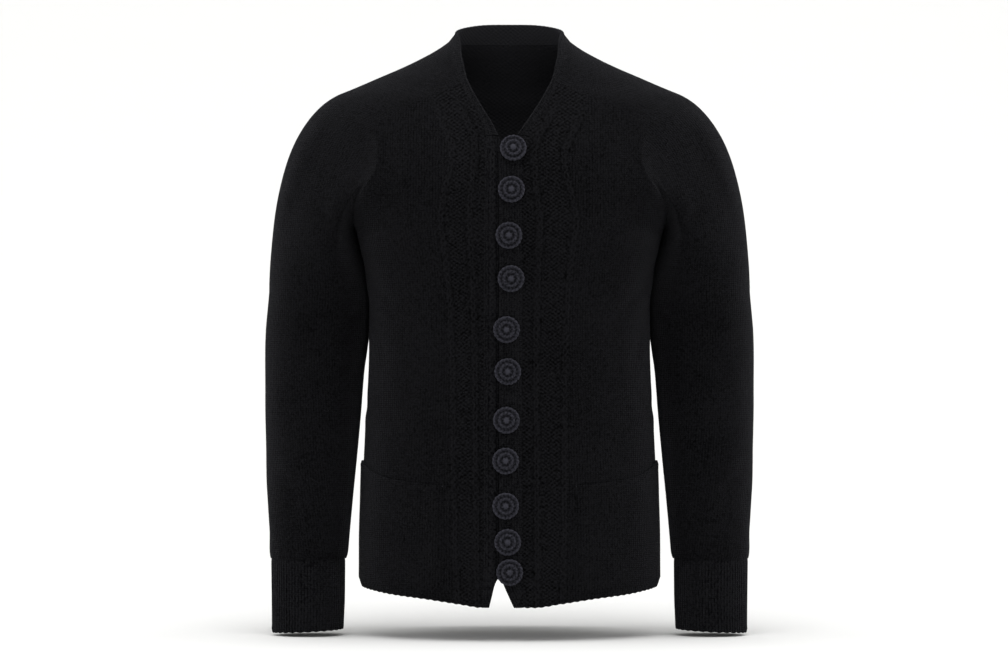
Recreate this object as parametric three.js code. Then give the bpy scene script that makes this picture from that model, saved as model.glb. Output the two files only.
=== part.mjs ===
import * as THREE from 'three';

// A knitted wool cardigan with a V neck, saddle shoulders and eleven crochet-covered buttons,
// filled out as if worn, with its sleeves hanging beside the body.
// Millimetres, +Z up, front towards -Y, the viewer's right towards +X.
// The origin is the middle of the neck opening, level with the tops of the shoulders.
// "Right" and "left" are the viewer's. The right front is the one that lies on top.

const wall = 2.6;
const seamGap = 0.3;
const layerGap = 0.6;
const halfTurn = Math.PI;
const quarterTurn = Math.PI / 2;

const colours = {
  body: 0x17171c,
  sleeve: 0x18181d,
  rib: 0x1b1b20,
  pocket: 0x19191e,
  button: 0x2a2b33,
};

// Depth of the garment before and behind its side seams. A squareness of 2 is an ellipse.
const depths = [
  { z: -700, front: 100, back: 98, square: 2.5 },
  { z: -560, front: 102, back: 99, square: 2.5 },
  { z: -476, front: 101, back: 93, square: 2.5 },
  { z: -400, front: 101, back: 88, square: 2.5 },
  { z: -310, front: 105, back: 92.5, square: 2.62 },
  { z: -225, front: 108.8, back: 102, square: 2.75 },
  { z: -190, front: 108, back: 105, square: 2.55 },
  { z: -152, front: 103.5, back: 106.5, square: 2.4 },
  { z: -108, front: 92, back: 104, square: 2.35 },
  { z: -80, front: 82, back: 98.5, square: 2.27 },
  { z: -56, front: 71.5, back: 90, square: 2.18 },
  { z: -32, front: 60, back: 79, square: 2.1 },
  { z: -10, front: 50.5, back: 67, square: 2.02 },
  { z: 0, front: 47, back: 61.5, square: 2 },
  { z: 10, front: 45, back: 57, square: 2 },
  { z: 35, front: 42, back: 50, square: 2 },
];

// Half width of the level ring that the cloth lies on. Below the underarm it is the body's own.
// Above, it opens out until it is the width across both sleeves, then follows the shoulders up.
const widths = [
  { z: -700, half: 178 },
  { z: -600, half: 177.5 },
  { z: -540, half: 176 },
  { z: -476, half: 173 },
  { z: -400, half: 169.3 },
  { z: -350, half: 168.5 },
  { z: -310, half: 169.3 },
  { z: -280, half: 172 },
  { z: -250, half: 178 },
  { z: -225, half: 184 },
  { z: -218, half: 188.5 },
  { z: -210, half: 194.5 },
  { z: -195, half: 211 },
  { z: -180, half: 232 },
  { z: -165, half: 253 },
  { z: -152, half: 264 },
  { z: -138, half: 264.5 },
  { z: -116, half: 254 },
  { z: -92, half: 239 },
  { z: -80, half: 229 },
  { z: -68, half: 213 },
  { z: -56, half: 187.5 },
  { z: -44, half: 161 },
  { z: -32, half: 133.5 },
  { z: -20, half: 107.5 },
  { z: -11, half: 90 },
  { z: -4, half: 79 },
  { z: 2, half: 71.5 },
  { z: 8, half: 66 },
  { z: 15, half: 62 },
  { z: 24, half: 58 },
  { z: 35, half: 56 },
];

// The side seam and the armhole, in the rows that the front, the back and the sleeve share.
const sideSeam = [-650, -617, -584, -550, -515, -480, -445, -410, -375, -340, -305, -266]
  .map((z) => ({ z }));
const armholes = {
  front: [
    { z: -225, x: 184 },
    { z: -221.5, x: 185.7 },
    { z: -212, x: 185.6 },
    { z: -198, x: 182 },
    { z: -180, x: 172 },
    { z: -161, x: 159.5 },
    { z: -142, x: 154.5 },
    { z: -124, x: 157 },
    { z: -108, x: 163 },
  ],
  back: [
    { z: -225, x: 184 },
    { z: -221.5, x: 185.8 },
    { z: -212, x: 187 },
    { z: -197, x: 185.5 },
    { z: -178, x: 180 },
    { z: -157, x: 174 },
    { z: -137, x: 170.5 },
    { z: -118, x: 169.5 },
    { z: -100, x: 170 },
  ],
};

// The seams between the saddle and the fronts and back, from the neck to the armhole.
const saddleSeams = {
  front: [
    { z: -55, x: 56 },
    { z: -59.5, x: 66 },
    { z: -64, x: 77 },
    { z: -68.5, x: 89 },
    { z: -73.5, x: 101 },
    { z: -79, x: 114 },
    { z: -84.5, x: 126 },
    { z: -91, x: 138 },
    { z: -99, x: 150 },
    { z: -108, x: 163 },
  ],
  back: [
    { z: 2, x: 50.5 },
    { z: -9, x: 66 },
    { z: -20, x: 80 },
    { z: -31, x: 94 },
    { z: -43, x: 108 },
    { z: -54, x: 121 },
    { z: -66, x: 134 },
    { z: -77, x: 147 },
    { z: -89, x: 159 },
    { z: -100, x: 170 },
  ],
};

// The end of the saddle over the shoulder, as an angle round the ring: 0 front, 90 side.
const saddleEnd = [
  { angle: 50, z: -92 },
  { angle: 63, z: -77 },
  { angle: 76, z: -66.5 },
  { angle: 90, z: -62 },
  { angle: 103, z: -65 },
  { angle: 116, z: -74 },
  { angle: 128, z: -86 },
];

// The neckband from the saddle's front corner over the side to its back corner, at the seam
// that joins it to the body and at its free edge.
const neckSide = [
  { seamAngle: 17, seamZ: -55, edgeAngle: 13, edgeZ: -55 },
  { seamAngle: 21.5, seamZ: -45, edgeAngle: 17.5, edgeZ: -43 },
  { seamAngle: 28.5, seamZ: -33, edgeAngle: 23.8, edgeZ: -30 },
  { seamAngle: 37.5, seamZ: -22, edgeAngle: 33, edgeZ: -18 },
  { seamAngle: 48, seamZ: -12.5, edgeAngle: 48, edgeZ: -4 },
  { seamAngle: 65, seamZ: -4, edgeAngle: 66, edgeZ: 7 },
  { seamAngle: 90, seamZ: 1, edgeAngle: 90, edgeZ: 14.5 },
  { seamAngle: 113, seamZ: 2, edgeAngle: 114, edgeZ: 20.5 },
  { seamAngle: 135, seamZ: 2, edgeAngle: 136, edgeZ: 24.5 },
];
const neckBack = [
  { seamAngle: 150, seamZ: 2.6, edgeAngle: 150, edgeZ: 26.2 },
  { seamAngle: 165, seamZ: 3, edgeAngle: 165, edgeZ: 27 },
  { seamAngle: 180, seamZ: 3, edgeAngle: 180, edgeZ: 27.2 },
];

// The inner edge of each front, from the hem to the saddle: the seam to its band, then from
// the V's foot the seam to the neckband. The edge column is the free edge of band or neckband,
// measured from the middle towards the front's own side, so a band that laps over is negative.
const fronts = {
  right: [
    { z: -669, seam: 14, edge: 5 },
    { z: -655, seam: 14, edge: -1.5 },
    { z: -641, seam: 14, edge: -7.5 },
    { z: -626, seam: 14, edge: -12.2 },
    { z: -580, seam: 14, edge: -12.2 },
    { z: -530, seam: 14, edge: -12.2 },
    { z: -480, seam: 14, edge: -12.2 },
    { z: -430, seam: 14, edge: -12.2 },
    { z: -380, seam: 14, edge: -12.2 },
    { z: -335, seam: 14, edge: -12.2 },
    { z: -290, seam: 14, edge: -12.2 },
    { z: -250, seam: 14, edge: -12.2 },
    { z: -215, seam: 14, edge: -12.2 },
    { z: -188, seam: 14, edge: -12.2 },
    { z: -162, seam: 14.3, edge: -12.2 },
    { z: -139, seam: 15.5, edge: -11.5 },
    { z: -117, seam: 20, edge: 8 },
    { z: -102, seam: 30, edge: 18.5 },
    { z: -87, seam: 39.5, edge: 28.5 },
    { z: -71, seam: 49, edge: 38.5 },
    { z: -55, seam: 56, edge: 47.1 },
  ],
  left: [
    { z: -669, seam: 32, edge: 24 },
    { z: -655, seam: 31.5, edge: 20.5 },
    { z: -641, seam: 31, edge: 16.5 },
    { z: -626, seam: 30.5, edge: 8 },
    { z: -580, seam: 30, edge: -6 },
    { z: -530, seam: 30, edge: -8 },
    { z: -480, seam: 30, edge: -8 },
    { z: -430, seam: 30, edge: -8 },
    { z: -380, seam: 30, edge: -8 },
    { z: -335, seam: 30, edge: -8 },
    { z: -290, seam: 30, edge: -8 },
    { z: -250, seam: 30, edge: -8 },
    { z: -215, seam: 30, edge: -8 },
    { z: -188, seam: 29.5, edge: -8 },
    { z: -162, seam: 29, edge: -8 },
    { z: -139, seam: 28.5, edge: 1 },
    { z: -117, seam: 28, edge: 13 },
    { z: -102, seam: 33, edge: 20.5 },
    { z: -87, seam: 40.5, edge: 29.5 },
    { z: -71, seam: 49, edge: 39 },
    { z: -55, seam: 56, edge: 47.1 },
  ],
};
const neckbandFoot = 16;

// Where the columns of a front stand at the hem, and how far its knit stands up along them.
const frontColumns = [
  { x: 37, raise: 0.7 },
  { x: 49, raise: 0 },
  { x: 61, raise: 0.9 },
  { x: 73, raise: 0 },
  { x: 97, raise: 0 },
  { x: 121, raise: 0 },
  { x: 143, raise: 0 },
  { x: 162, raise: 0 },
];
const stripFadeRows = 3;

// Height of the hem against the distance from the middle.
const hemFront = [
  { x: 0, z: -669 },
  { x: 30, z: -669 },
  { x: 60, z: -665 },
  { x: 100, z: -659.5 },
  { x: 140, z: -655.5 },
  { x: 178, z: -650 },
];
const hemBackMiddle = -645;

// The sleeve below the armhole, in level rings, and the cuff below it.
const sleeveRings = [
  { z: -300, inner: 170.8, outer: 288, depth: 57, y: 0 },
  { z: -345, inner: 168.9, outer: 292.6, depth: 55, y: 12 },
  { z: -368, inner: 171.1, outer: 293.6, depth: 53.8, y: 14 },
  { z: -395, inner: 174.8, outer: 294, depth: 52, y: 13 },
  { z: -445, inner: 178.5, outer: 293.5, depth: 48.5, y: 7.5 },
  { z: -495, inner: 182.7, outer: 292, depth: 45, y: 0 },
  { z: -545, inner: 187.3, outer: 289.5, depth: 40.5, y: -8 },
  { z: -585, inner: 190.8, outer: 287.1, depth: 36, y: -13.5 },
  { z: -610, inner: 192.8, outer: 286, depth: 33, y: -16 },
  { z: -617, inner: 194.8, outer: 285.2, depth: 31.2, y: -16 },
];
const cuffRings = [
  { z: -617, inner: 196.4, outer: 284.4, depth: 30, y: -16 },
  { z: -658, inner: 196.6, outer: 283.8, depth: 28.4, y: -17.5 },
  { z: -703, inner: 198.2, outer: 283.2, depth: 27, y: -19 },
];
const cuffSlant = 2;
const cuffRibs = 40;
const ribHeight = 0.8;
const bandRibs = 4;

// The cap leaves the armhole upright up to this height, and leans out with the body above it.
const capOpens = -161;
const capRows = 6;
const capPull = { start: 0.27, endUnderarm: 0.33, endTop: 0.44 };

// The patch pocket lies on the front's outer columns. Its mouth is given as a height on each.
const pocketColumn = 4;
const pocketMouth = [-527, -525, -522.5, -519.5, -513, -501];
const pocketFoot = 0.06;
const pocketRows = 5;

const buttonRadius = 15.7;
const buttons = [
  { x: 4.2, z: -133.5 },
  { x: 2.0, z: -181.7 },
  { x: -0.9, z: -235.1 },
  { x: 1.6, z: -285.2 },
  { x: -3.7, z: -344.4 },
  { x: -2.3, z: -393.4 },
  { x: -3.8, z: -450.1 },
  { x: -4.7, z: -497.6 },
  { x: -4.7, z: -550.0 },
  { x: -2.3, z: -592.0 },
  { x: 0, z: -627.2 },
];
const buttonProfile = [
  { radius: 0, height: 7.6 },
  { radius: 0.2, height: 7.4 },
  { radius: 0.34, height: 5.9 },
  { radius: 0.5, height: 6.9 },
  { radius: 0.64, height: 5.1 },
  { radius: 0.84, height: 5.4 },
  { radius: 1, height: 2.6 },
  { radius: 0.9, height: 0 },
  { radius: 0, height: 0 },
];
const buttonSides = 14;
const buttonSeat = 0.5;

// How far the two bands part where one laps over the other, the distance from the middle at
// which each begins to leave the front's surface, and the width over which it does.
const lapLift = 1.9;
const lapEdge = { right: 13, left: 19 };
const lapRamp = 5;
// How far below the V's foot the bands end, where the neckband begins.
const bandDrop = 1;

// Smooth curve through two columns of a table, which never swings past its own points.
function curve(table, from, to) {
  const xs = table.map((row) => row[from]);
  const ys = table.map((row) => row[to]);
  const last = xs.length - 1;
  const rise = (i) => (ys[i + 1] - ys[i]) / (xs[i + 1] - xs[i]);
  const slopes = xs.map((_, i) => {
    if (i === 0) return rise(0);
    if (i === last) return rise(last - 1);
    const before = rise(i - 1);
    const after = rise(i);
    return before * after <= 0 ? 0 : (2 * before * after) / (before + after);
  });
  return (value) => {
    let i = 0;
    while (i < last - 1 && value > xs[i + 1]) i += 1;
    const step = xs[i + 1] - xs[i];
    const t = Math.min(Math.max((value - xs[i]) / step, 0), 1);
    const near = (1 + 2 * t) * (1 - t) ** 2 * ys[i] + t * (1 - t) ** 2 * step * slopes[i];
    const far = t * t * (3 - 2 * t) * ys[i + 1] - t * t * (1 - t) * step * slopes[i + 1];
    return near + far;
  };
}

const ring = {
  half: curve(widths, 'z', 'half'),
  front: curve(depths, 'z', 'front'),
  back: curve(depths, 'z', 'back'),
  square: curve(depths, 'z', 'square'),
};
const hemHeight = curve(hemFront, 'x', 'z');

// A point of the body's outer face. The angle goes from 0 at the front over the viewer's right
// side at a quarter turn to the back at a half turn.
function bodyPoint({ angle, z }) {
  const power = 2 / ring.square(z);
  const across = Math.sin(Math.min(angle, halfTurn)) ** power;
  const along = Math.abs(Math.cos(angle)) ** power;
  const depth = angle < quarterTurn ? -ring.front(z) : ring.back(z);
  return new THREE.Vector3(ring.half(z) * across, depth * along, z);
}

// The angle at which a front point stands at a given distance from the middle.
function frontAngle(x, z) {
  return Math.asin(Math.min(x / ring.half(z), 1) ** (ring.square(z) / 2));
}

// A point of the front's outer face near the middle, where x may have either sign.
function frontPoint(x, z, lift = 0) {
  const point = bodyPoint({ angle: frontAngle(Math.abs(x), z), z });
  return new THREE.Vector3(x, point.y - lift, z);
}

const onFront = ({ x, z }) => ({ angle: frontAngle(x, z), z });
const onBack = ({ x, z }) => ({ angle: halfTurn - frontAngle(x, z), z });
const inDegrees = ({ angle, z }) => ({ angle: THREE.MathUtils.degToRad(angle), z });
const mirrored = (point) => new THREE.Vector3(-point.x, point.y, point.z);

// Where a front or the back ends beside the sleeve: at the side seam, then at the armhole.
function panelLimit(armhole) {
  const edge = curve(armhole, 'z', 'x');
  return (z) => (z < armhole[0].z ? ring.half(z) : edge(z));
}
const limits = { front: panelLimit(armholes.front), back: panelLimit(armholes.back) };

// The turn of a panel's point: none in the middle, a quarter at the side seam or armhole.
function panelTurn(x, z, limit) {
  return Math.asin(Math.min(x / limit(z), 1) ** (ring.square(z) / 2));
}
function panelPoint({ angle, z }, limit, onto) {
  return bodyPoint(onto({ x: limit(z) * Math.sin(angle) ** (2 / ring.square(z)), z }));
}

// Fills the space between four edges, given in angle and height, with rows of points.
function fill(bottom, top, left, right) {
  const columns = bottom.length - 1;
  const rows = left.length - 1;
  const blend = (key, i, j) => {
    const u = j / columns;
    const v = i / rows;
    const corners = (1 - v) * ((1 - u) * bottom[0][key] + u * bottom[columns][key])
      + v * ((1 - u) * top[0][key] + u * top[columns][key]);
    return (1 - v) * bottom[j][key] + v * top[j][key]
      + (1 - u) * left[i][key] + u * right[i][key] - corners;
  };
  return left.map((_, i) => bottom.map((__, j) => {
    if (i === 0) return bottom[j];
    if (i === rows) return top[j];
    if (j === 0) return left[i];
    if (j === columns) return right[i];
    return { angle: blend('angle', i, j), z: blend('z', i, j) };
  }));
}

// The four-cornered patches of a grid whose rows go up and whose columns go round leftwards
// as seen from above, so that they face out. Turned over for rows that go down.
function patches(grid, turned = false) {
  const list = [];
  for (let i = 0; i + 1 < grid.length; i += 1) {
    for (let j = 0; j + 1 < grid[i].length; j += 1) {
      const patch = [grid[i][j], grid[i][j + 1], grid[i + 1][j + 1], grid[i + 1][j]];
      list.push(turned ? patch.reverse() : patch);
    }
  }
  return list;
}

const mirrorPatches = (list) => list.map((patch) => patch.map((point) => {
  const twin = mirrored(point);
  twin.raise = point.raise;
  return twin;
}).reverse());

const keyOf = (point) => point.toArray().map((value) => Math.round(value * 1000) + 0).join();

function patchNormal([a, b, c, d]) {
  return new THREE.Vector3().crossVectors(c.clone().sub(a), d.clone().sub(b));
}

// Facing directions at every corner. Pieces that share a seam share them there too.
function facings(lists) {
  const sums = new Map();
  for (const patch of lists.flat()) {
    const normal = patchNormal(patch);
    for (const point of patch) {
      const key = keyOf(point);
      if (!sums.has(key)) sums.set(key, new THREE.Vector3());
      sums.get(key).add(normal);
    }
  }
  sums.forEach((sum) => sum.normalize());
  return sums;
}

// How far each corner on a piece's border is drawn in, so that half a seam gap stays free.
function drawnIn(corners, quads, normals) {
  const uses = new Map();
  quads.forEach((quad) => quad.forEach((a, k) => {
    const b = quad[(k + 1) % 4];
    const key = a < b ? `${a}_${b}` : `${b}_${a}`;
    uses.set(key, [...(uses.get(key) ?? []), { a, b, quad }]);
  }));
  const border = [...uses.values()].filter((list) => list.length === 1).map(([edge]) => edge);
  const pulls = new Map();
  for (const { a, b, quad } of border) {
    const middle = new THREE.Vector3();
    quad.forEach((k) => middle.addScaledVector(corners[k], 0.25));
    const along = corners[b].clone().sub(corners[a]).normalize();
    for (const end of [a, b]) {
      const inward = middle.clone().sub(corners[end]);
      inward.addScaledVector(along, -inward.dot(along));
      inward.addScaledVector(normals[end], -inward.dot(normals[end])).normalize();
      pulls.set(end, [...(pulls.get(end) ?? []), inward]);
    }
  }
  const shifts = new Map();
  pulls.forEach(([first, second], end) => {
    const both = first.clone().add(second);
    shifts.set(end, both.multiplyScalar(seamGap / 2 / (1 + Math.max(first.dot(second), -0.5))));
  });
  return { border, shifts };
}

// Gives a piece of cloth its thickness: the outer face, the inner one, and the rim between.
function clothSolid(list, facing) {
  const index = new Map();
  const corners = [];
  const quads = list.map((patch) => patch.map((point) => {
    const key = keyOf(point);
    if (!index.has(key)) {
      index.set(key, corners.length);
      corners.push(point);
    }
    return index.get(key);
  }));
  const normals = corners.map((point) => facing.get(keyOf(point)));
  const { border, shifts } = drawnIn(corners, quads, normals);
  const outer = corners.map((point, k) => {
    const moved = point.clone().add(shifts.get(k) ?? new THREE.Vector3());
    return moved.addScaledVector(normals[k], point.raise ?? 0);
  });
  const inner = corners.map((point, k) => {
    const moved = point.clone().add(shifts.get(k) ?? new THREE.Vector3());
    return moved.addScaledVector(normals[k], -wall);
  });
  const count = corners.length;
  const triangles = [];
  for (const [a, b, c, d] of quads) {
    const short = outer[a].distanceTo(outer[c]) <= outer[b].distanceTo(outer[d]);
    const halves = short ? [[a, b, c], [a, c, d]] : [[a, b, d], [b, c, d]];
    for (const [p, q, r] of halves) {
      triangles.push(p, q, r, count + r, count + q, count + p);
    }
  }
  for (const { a, b } of border) {
    if (corners[a].z > corners[b].z) {
      triangles.push(b, a, count + b, a, count + a, count + b);
    } else {
      triangles.push(b, a, count + a, b, count + a, count + b);
    }
  }
  const geometry = new THREE.BufferGeometry();
  geometry.setFromPoints([...outer, ...inner]);
  geometry.setIndex(triangles);
  return geometry;
}

const raised = (point, height) => Object.assign(point, { raise: height });

// A front from its band and the neckband to the side seam and the armhole.
function frontPanel(edge) {
  const place = ({ x, z }) => ({ angle: panelTurn(x, z, limits.front), z });
  const left = edge.map(({ z, seam }) => place({ x: seam, z }));
  const right = [...sideSeam, ...armholes.front].map(({ z }) => ({ angle: quarterTurn, z }));
  const bottomX = [edge[0].seam, ...frontColumns.map(({ x }) => x)];
  const bottom = [...bottomX.map((x) => place({ x, z: hemHeight(x) })), right[0]];
  const top = saddleSeams.front.map(place);
  return fill(bottom, top, left, right).map((row, i) => row.map((spot, j) => {
    const height = i > 0 && j > 0 && j < row.length - 1 ? frontColumns[j - 1].raise : 0;
    const fade = Math.min(1, (edge.length - 1 - i) / stripFadeRows);
    return raised(panelPoint(spot, limits.front, onFront), height * fade);
  }));
}

// The back's right half, from the side seam to the middle.
function backPanel(neckRow) {
  const place = ({ x, z }) => ({ angle: quarterTurn - panelTurn(x, z, limits.back), z });
  const neckPlaces = neckRow.slice(1).map(({ angle, z }) => place({ x: bodyPoint({ angle, z }).x, z }));
  const top = [...saddleSeams.back.map(place).reverse(), ...neckPlaces];
  const side = [...sideSeam, ...armholes.back].map(({ z }) => ({ angle: 0, z }));
  const neckZ = top.at(-1).z;
  const middle = side.map((_, i) => {
    const t = i / (side.length - 1);
    return { angle: quarterTurn, z: hemBackMiddle + (neckZ - hemBackMiddle) * t };
  });
  const bottom = top.map((_, j) => {
    const t = j / (top.length - 1);
    return { angle: quarterTurn * t, z: side[0].z + (hemBackMiddle - side[0].z) * t };
  });
  return fill(bottom, top, side, middle).map((row) => row.map(({ angle, z }) => {
    return panelPoint({ angle: quarterTurn - angle, z }, limits.back, onBack);
  }));
}

// The saddle over the shoulder, from the neckband to the shoulder's end.
function saddleGrid(neckRow) {
  const end = [onFront(armholes.front.at(-1)), ...saddleEnd.map(inDegrees), onBack(armholes.back.at(-1))];
  const front = saddleSeams.front.map(onFront);
  const back = saddleSeams.back.map(onBack);
  return fill(neckRow, end, front, back).map((row) => row.map(bodyPoint));
}

const ringPoint = ({ inner, outer, depth, y, z }, turn, slant = 0) => {
  const reach = (outer - inner) / 2;
  const x = (inner + outer) / 2 - reach * Math.cos(turn);
  return new THREE.Vector3(x, y - depth * Math.sin(turn), z + slant * Math.cos(turn));
};

// The sleeve's tube, from the armhole and the saddle's end down to the cuff.
function sleeveGrid(saddleRow) {
  const seamAlong = (rows, limit, onto) => rows.map(({ z }) => {
    return panelPoint({ angle: quarterTurn, z }, limit, onto);
  });
  const armFront = seamAlong(armholes.front, limits.front, onFront);
  const armBack = seamAlong(armholes.back, limits.back, onBack);
  const start = [...armFront.slice(0, -1), ...saddleRow, ...armBack.slice(0, -1).reverse()];
  start[start.length - 1] = armFront[0];
  const columns = start.length - 1;
  const turns = start.map((_, j) => (2 * halfTurn * j) / columns);
  const ends = turns.map((turn) => ringPoint(sleeveRings[0], turn));
  const grid = [start];
  for (let i = 1; i < capRows; i += 1) {
    const t = i / capRows;
    grid.push(start.map((from, j) => {
      const to = ends[j];
      const reach = to.distanceTo(from);
      const away = to.clone().sub(from).normalize();
      const facing = capFacing(start, j);
      away.addScaledVector(facing, -away.dot(facing)).normalize();
      const high = (1 - Math.cos(turns[j])) / 2;
      const pull = capPull.endUnderarm + (capPull.endTop - capPull.endUnderarm) * high;
      const first = from.clone().addScaledVector(away, capPull.start * reach);
      const second = to.clone().add(new THREE.Vector3(0, 0, pull * reach));
      return new THREE.CubicBezierCurve3(from, first, second, to).getPoint(t);
    }));
  }
  sleeveRings.forEach((row) => grid.push(turns.map((turn) => ringPoint(row, turn))));
  grid.forEach((row) => { row[columns] = row[0]; });
  return grid;
}

// The way the body's face looks at a corner of the armhole or of the saddle's end.
function capFacing(start, j) {
  const point = start[j];
  const half = ring.half(point.z);
  const square = ring.square(point.z);
  const depth = point.y < 0 ? ring.front(point.z) : ring.back(point.z);
  const step = 1;
  const across = Math.min(Math.abs(point.x) / half, 1) ** (square - 1) / half;
  const along = Math.sign(point.y) * Math.min(Math.abs(point.y) / depth, 1) ** (square - 1) / depth;
  const spread = (ring.half(point.z + step) - ring.half(point.z - step)) / (2 * step);
  const lean = point.z > capOpens ? spread : 0;
  return new THREE.Vector3(across, along, -lean * across).normalize();
}

function cuffGrid() {
  const columns = cuffRibs * 2;
  return cuffRings.map((row, i) => {
    const line = Array.from({ length: columns }, (_, j) => {
      const turn = (2 * halfTurn * j) / columns;
      const slant = i === cuffRings.length - 1 ? cuffSlant : 0;
      return raised(ringPoint(row, turn, slant), j % 2 === 0 ? ribHeight : 0);
    });
    return [...line, line[0]];
  });
}

// The neckband, from the foot of the right V over the back neck to the foot of the left V.
function neckbandGrid() {
  const vRows = (edge) => edge.slice(neckbandFoot, -1).map(({ z, seam, edge: free }) => ({
    seam: bodyPoint(onFront({ x: seam, z })),
    free: bodyPoint(onFront({ x: free, z })),
  }));
  const place = ({ seamAngle, seamZ, edgeAngle, edgeZ }) => ({
    seam: bodyPoint(inDegrees({ angle: seamAngle, z: seamZ })),
    free: bodyPoint(inDegrees({ angle: edgeAngle, z: edgeZ })),
  });
  const flip = (row) => ({ seam: mirrored(row.seam), free: mirrored(row.free) });
  const half = [...neckSide, ...neckBack].map(place);
  half[0].seam = bodyPoint(onFront(saddleSeams.front[0]));
  half[neckSide.length - 1].seam = bodyPoint(onBack(saddleSeams.back[0]));
  const stations = [
    ...vRows(fronts.right),
    ...half,
    ...half.slice(0, -1).reverse().map(flip),
    ...vRows(fronts.left).reverse().map(flip),
  ];
  const shares = [0, 1 / 3, 2 / 3, 1];
  return shares.map((share) => stations.map(({ seam, free }) => seam.clone().lerp(free, share)));
}

// A front band. It is knitted on at the seam; past the lap it stands out or lies behind.
function bandGrid(edge, name) {
  const columns = bandRibs * 2;
  const side = name === 'right' ? 1 : -1;
  return edge.slice(0, neckbandFoot + 1).map(({ z, seam, edge: free }, i) => {
    const line = Array.from({ length: columns + 1 }, (_, j) => {
      const share = j / columns;
      const x = side * (free + (seam - free) * share);
      const onLap = Math.min(1, Math.max(0, (lapEdge[name] - side * x) / lapRamp));
      const drop = i === neckbandFoot ? bandDrop : 0;
      const point = frontPoint(x, z - drop, side * lapLift * onLap);
      return raised(point, j % 2 === 1 ? ribHeight / 2 : 0);
    });
    const seamPoint = bodyPoint(onFront({ x: seam, z }));
    line[columns] = raised(side > 0 ? seamPoint : mirrored(seamPoint), 0);
    return side > 0 ? line : line.reverse();
  });
}

// A point of a front's grid, between its corners, with the way it faces.
function between(grid, facing, row, column) {
  const i = Math.min(Math.floor(row), grid.length - 2);
  const j = Math.min(Math.floor(column), grid[0].length - 2);
  const u = column - j;
  const v = row - i;
  const point = new THREE.Vector3();
  const normal = new THREE.Vector3();
  for (const [di, dj, share] of [[0, 0, (1 - u) * (1 - v)], [0, 1, u * (1 - v)],
    [1, 0, (1 - u) * v], [1, 1, u * v]]) {
    point.addScaledVector(grid[i + di][j + dj], share);
    normal.addScaledVector(facing.get(keyOf(grid[i + di][j + dj])), share);
  }
  return { point, normal: normal.normalize() };
}

// The row, and part of a row, at which a column of a grid reaches a height.
function rowAt(grid, column, z) {
  const i = grid.findIndex((row) => row[column].z > z) - 1;
  return i + (z - grid[i][column].z) / (grid[i + 1][column].z - grid[i][column].z);
}

// The patch pocket, made from the front's own points, moved out by its thickness.
function pocketGrid(front, facing) {
  return Array.from({ length: pocketRows + 1 }, (_, i) => pocketMouth.map((mouth, j) => {
    const top = rowAt(front, pocketColumn + j, mouth);
    const row = pocketFoot + ((top - pocketFoot) * i) / pocketRows;
    const { point, normal } = between(front, facing, row, pocketColumn + j);
    return point.addScaledVector(normal, wall + layerGap);
  }));
}

function buttonGeometry() {
  const profile = buttonProfile.map(({ radius, height }) => {
    return new THREE.Vector2(radius * buttonRadius, height);
  });
  return new THREE.LatheGeometry(profile.reverse(), buttonSides);
}

const cardigan = new THREE.Group();

function addPiece(name, geometry, colour, roughness = 0.95) {
  const material = new THREE.MeshStandardMaterial({ color: colour, roughness, metalness: 0 });
  const mesh = new THREE.Mesh(geometry, material);
  mesh.name = name;
  cardigan.add(mesh);
  return mesh;
}

const neckSeam = [...neckSide, ...neckBack].map(({ seamAngle, seamZ }) => {
  return inDegrees({ angle: seamAngle, z: seamZ });
});
neckSeam[0] = onFront(saddleSeams.front[0]);
neckSeam[neckSide.length - 1] = onBack(saddleSeams.back[0]);

const frontRight = frontPanel(fronts.right);
const frontLeft = frontPanel(fronts.left);
const backHalf = backPanel(neckSeam.slice(neckSide.length - 1));
const saddle = saddleGrid(neckSeam.slice(0, neckSide.length));
const sleeve = sleeveGrid(saddle.at(-1));

const sleevePatches = [...patches(saddle, true), ...patches(sleeve, true)];
const backPatches = patches(backHalf);
const outerCloth = {
  back: [...backPatches, ...mirrorPatches(backPatches)],
  front_right: patches(frontRight),
  front_left: mirrorPatches(patches(frontLeft)),
  sleeve_right: sleevePatches,
  sleeve_left: mirrorPatches(sleevePatches),
  neckband: patches(neckbandGrid()),
  buttonhole_band: patches(bandGrid(fronts.right, 'right')),
  button_band: patches(bandGrid(fronts.left, 'left')),
};
const facing = facings(Object.values(outerCloth));
const tints = { sleeve_right: colours.sleeve, sleeve_left: colours.sleeve };
for (const [name, list] of Object.entries(outerCloth)) {
  const ribbed = name.includes('band') ? colours.rib : colours.body;
  addPiece(name, clothSolid(list, facing), tints[name] ?? ribbed);
}

const cuffPatches = patches(cuffGrid(), true);
const pocketRightPatches = patches(pocketGrid(frontRight, facing));
const leftFacing = facings([patches(frontLeft)]);
const pocketLeftPatches = mirrorPatches(patches(pocketGrid(frontLeft, leftFacing)));
const laidOn = {
  cuff_right: [cuffPatches, colours.rib],
  cuff_left: [mirrorPatches(cuffPatches), colours.rib],
  pocket_right: [pocketRightPatches, colours.pocket],
  pocket_left: [pocketLeftPatches, colours.pocket],
};
for (const [name, [list, colour]] of Object.entries(laidOn)) {
  addPiece(name, clothSolid(list, facings([list])), colour);
}

buttons.forEach(({ x, z }, k) => {
  const slope = (ring.front(z + buttonRadius) - ring.front(z - buttonRadius)) / (2 * buttonRadius);
  const out = new THREE.Vector3(0, -1, -slope).normalize();
  const mesh = addPiece(`button_${String(k + 1).padStart(2, '0')}`, buttonGeometry(), colours.button, 0.9);
  mesh.position.copy(frontPoint(x, z, lapLift + ribHeight / 2)).addScaledVector(out, buttonSeat);
  mesh.quaternion.setFromUnitVectors(new THREE.Vector3(0, 1, 0), out);
});

export default cardigan;
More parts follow.
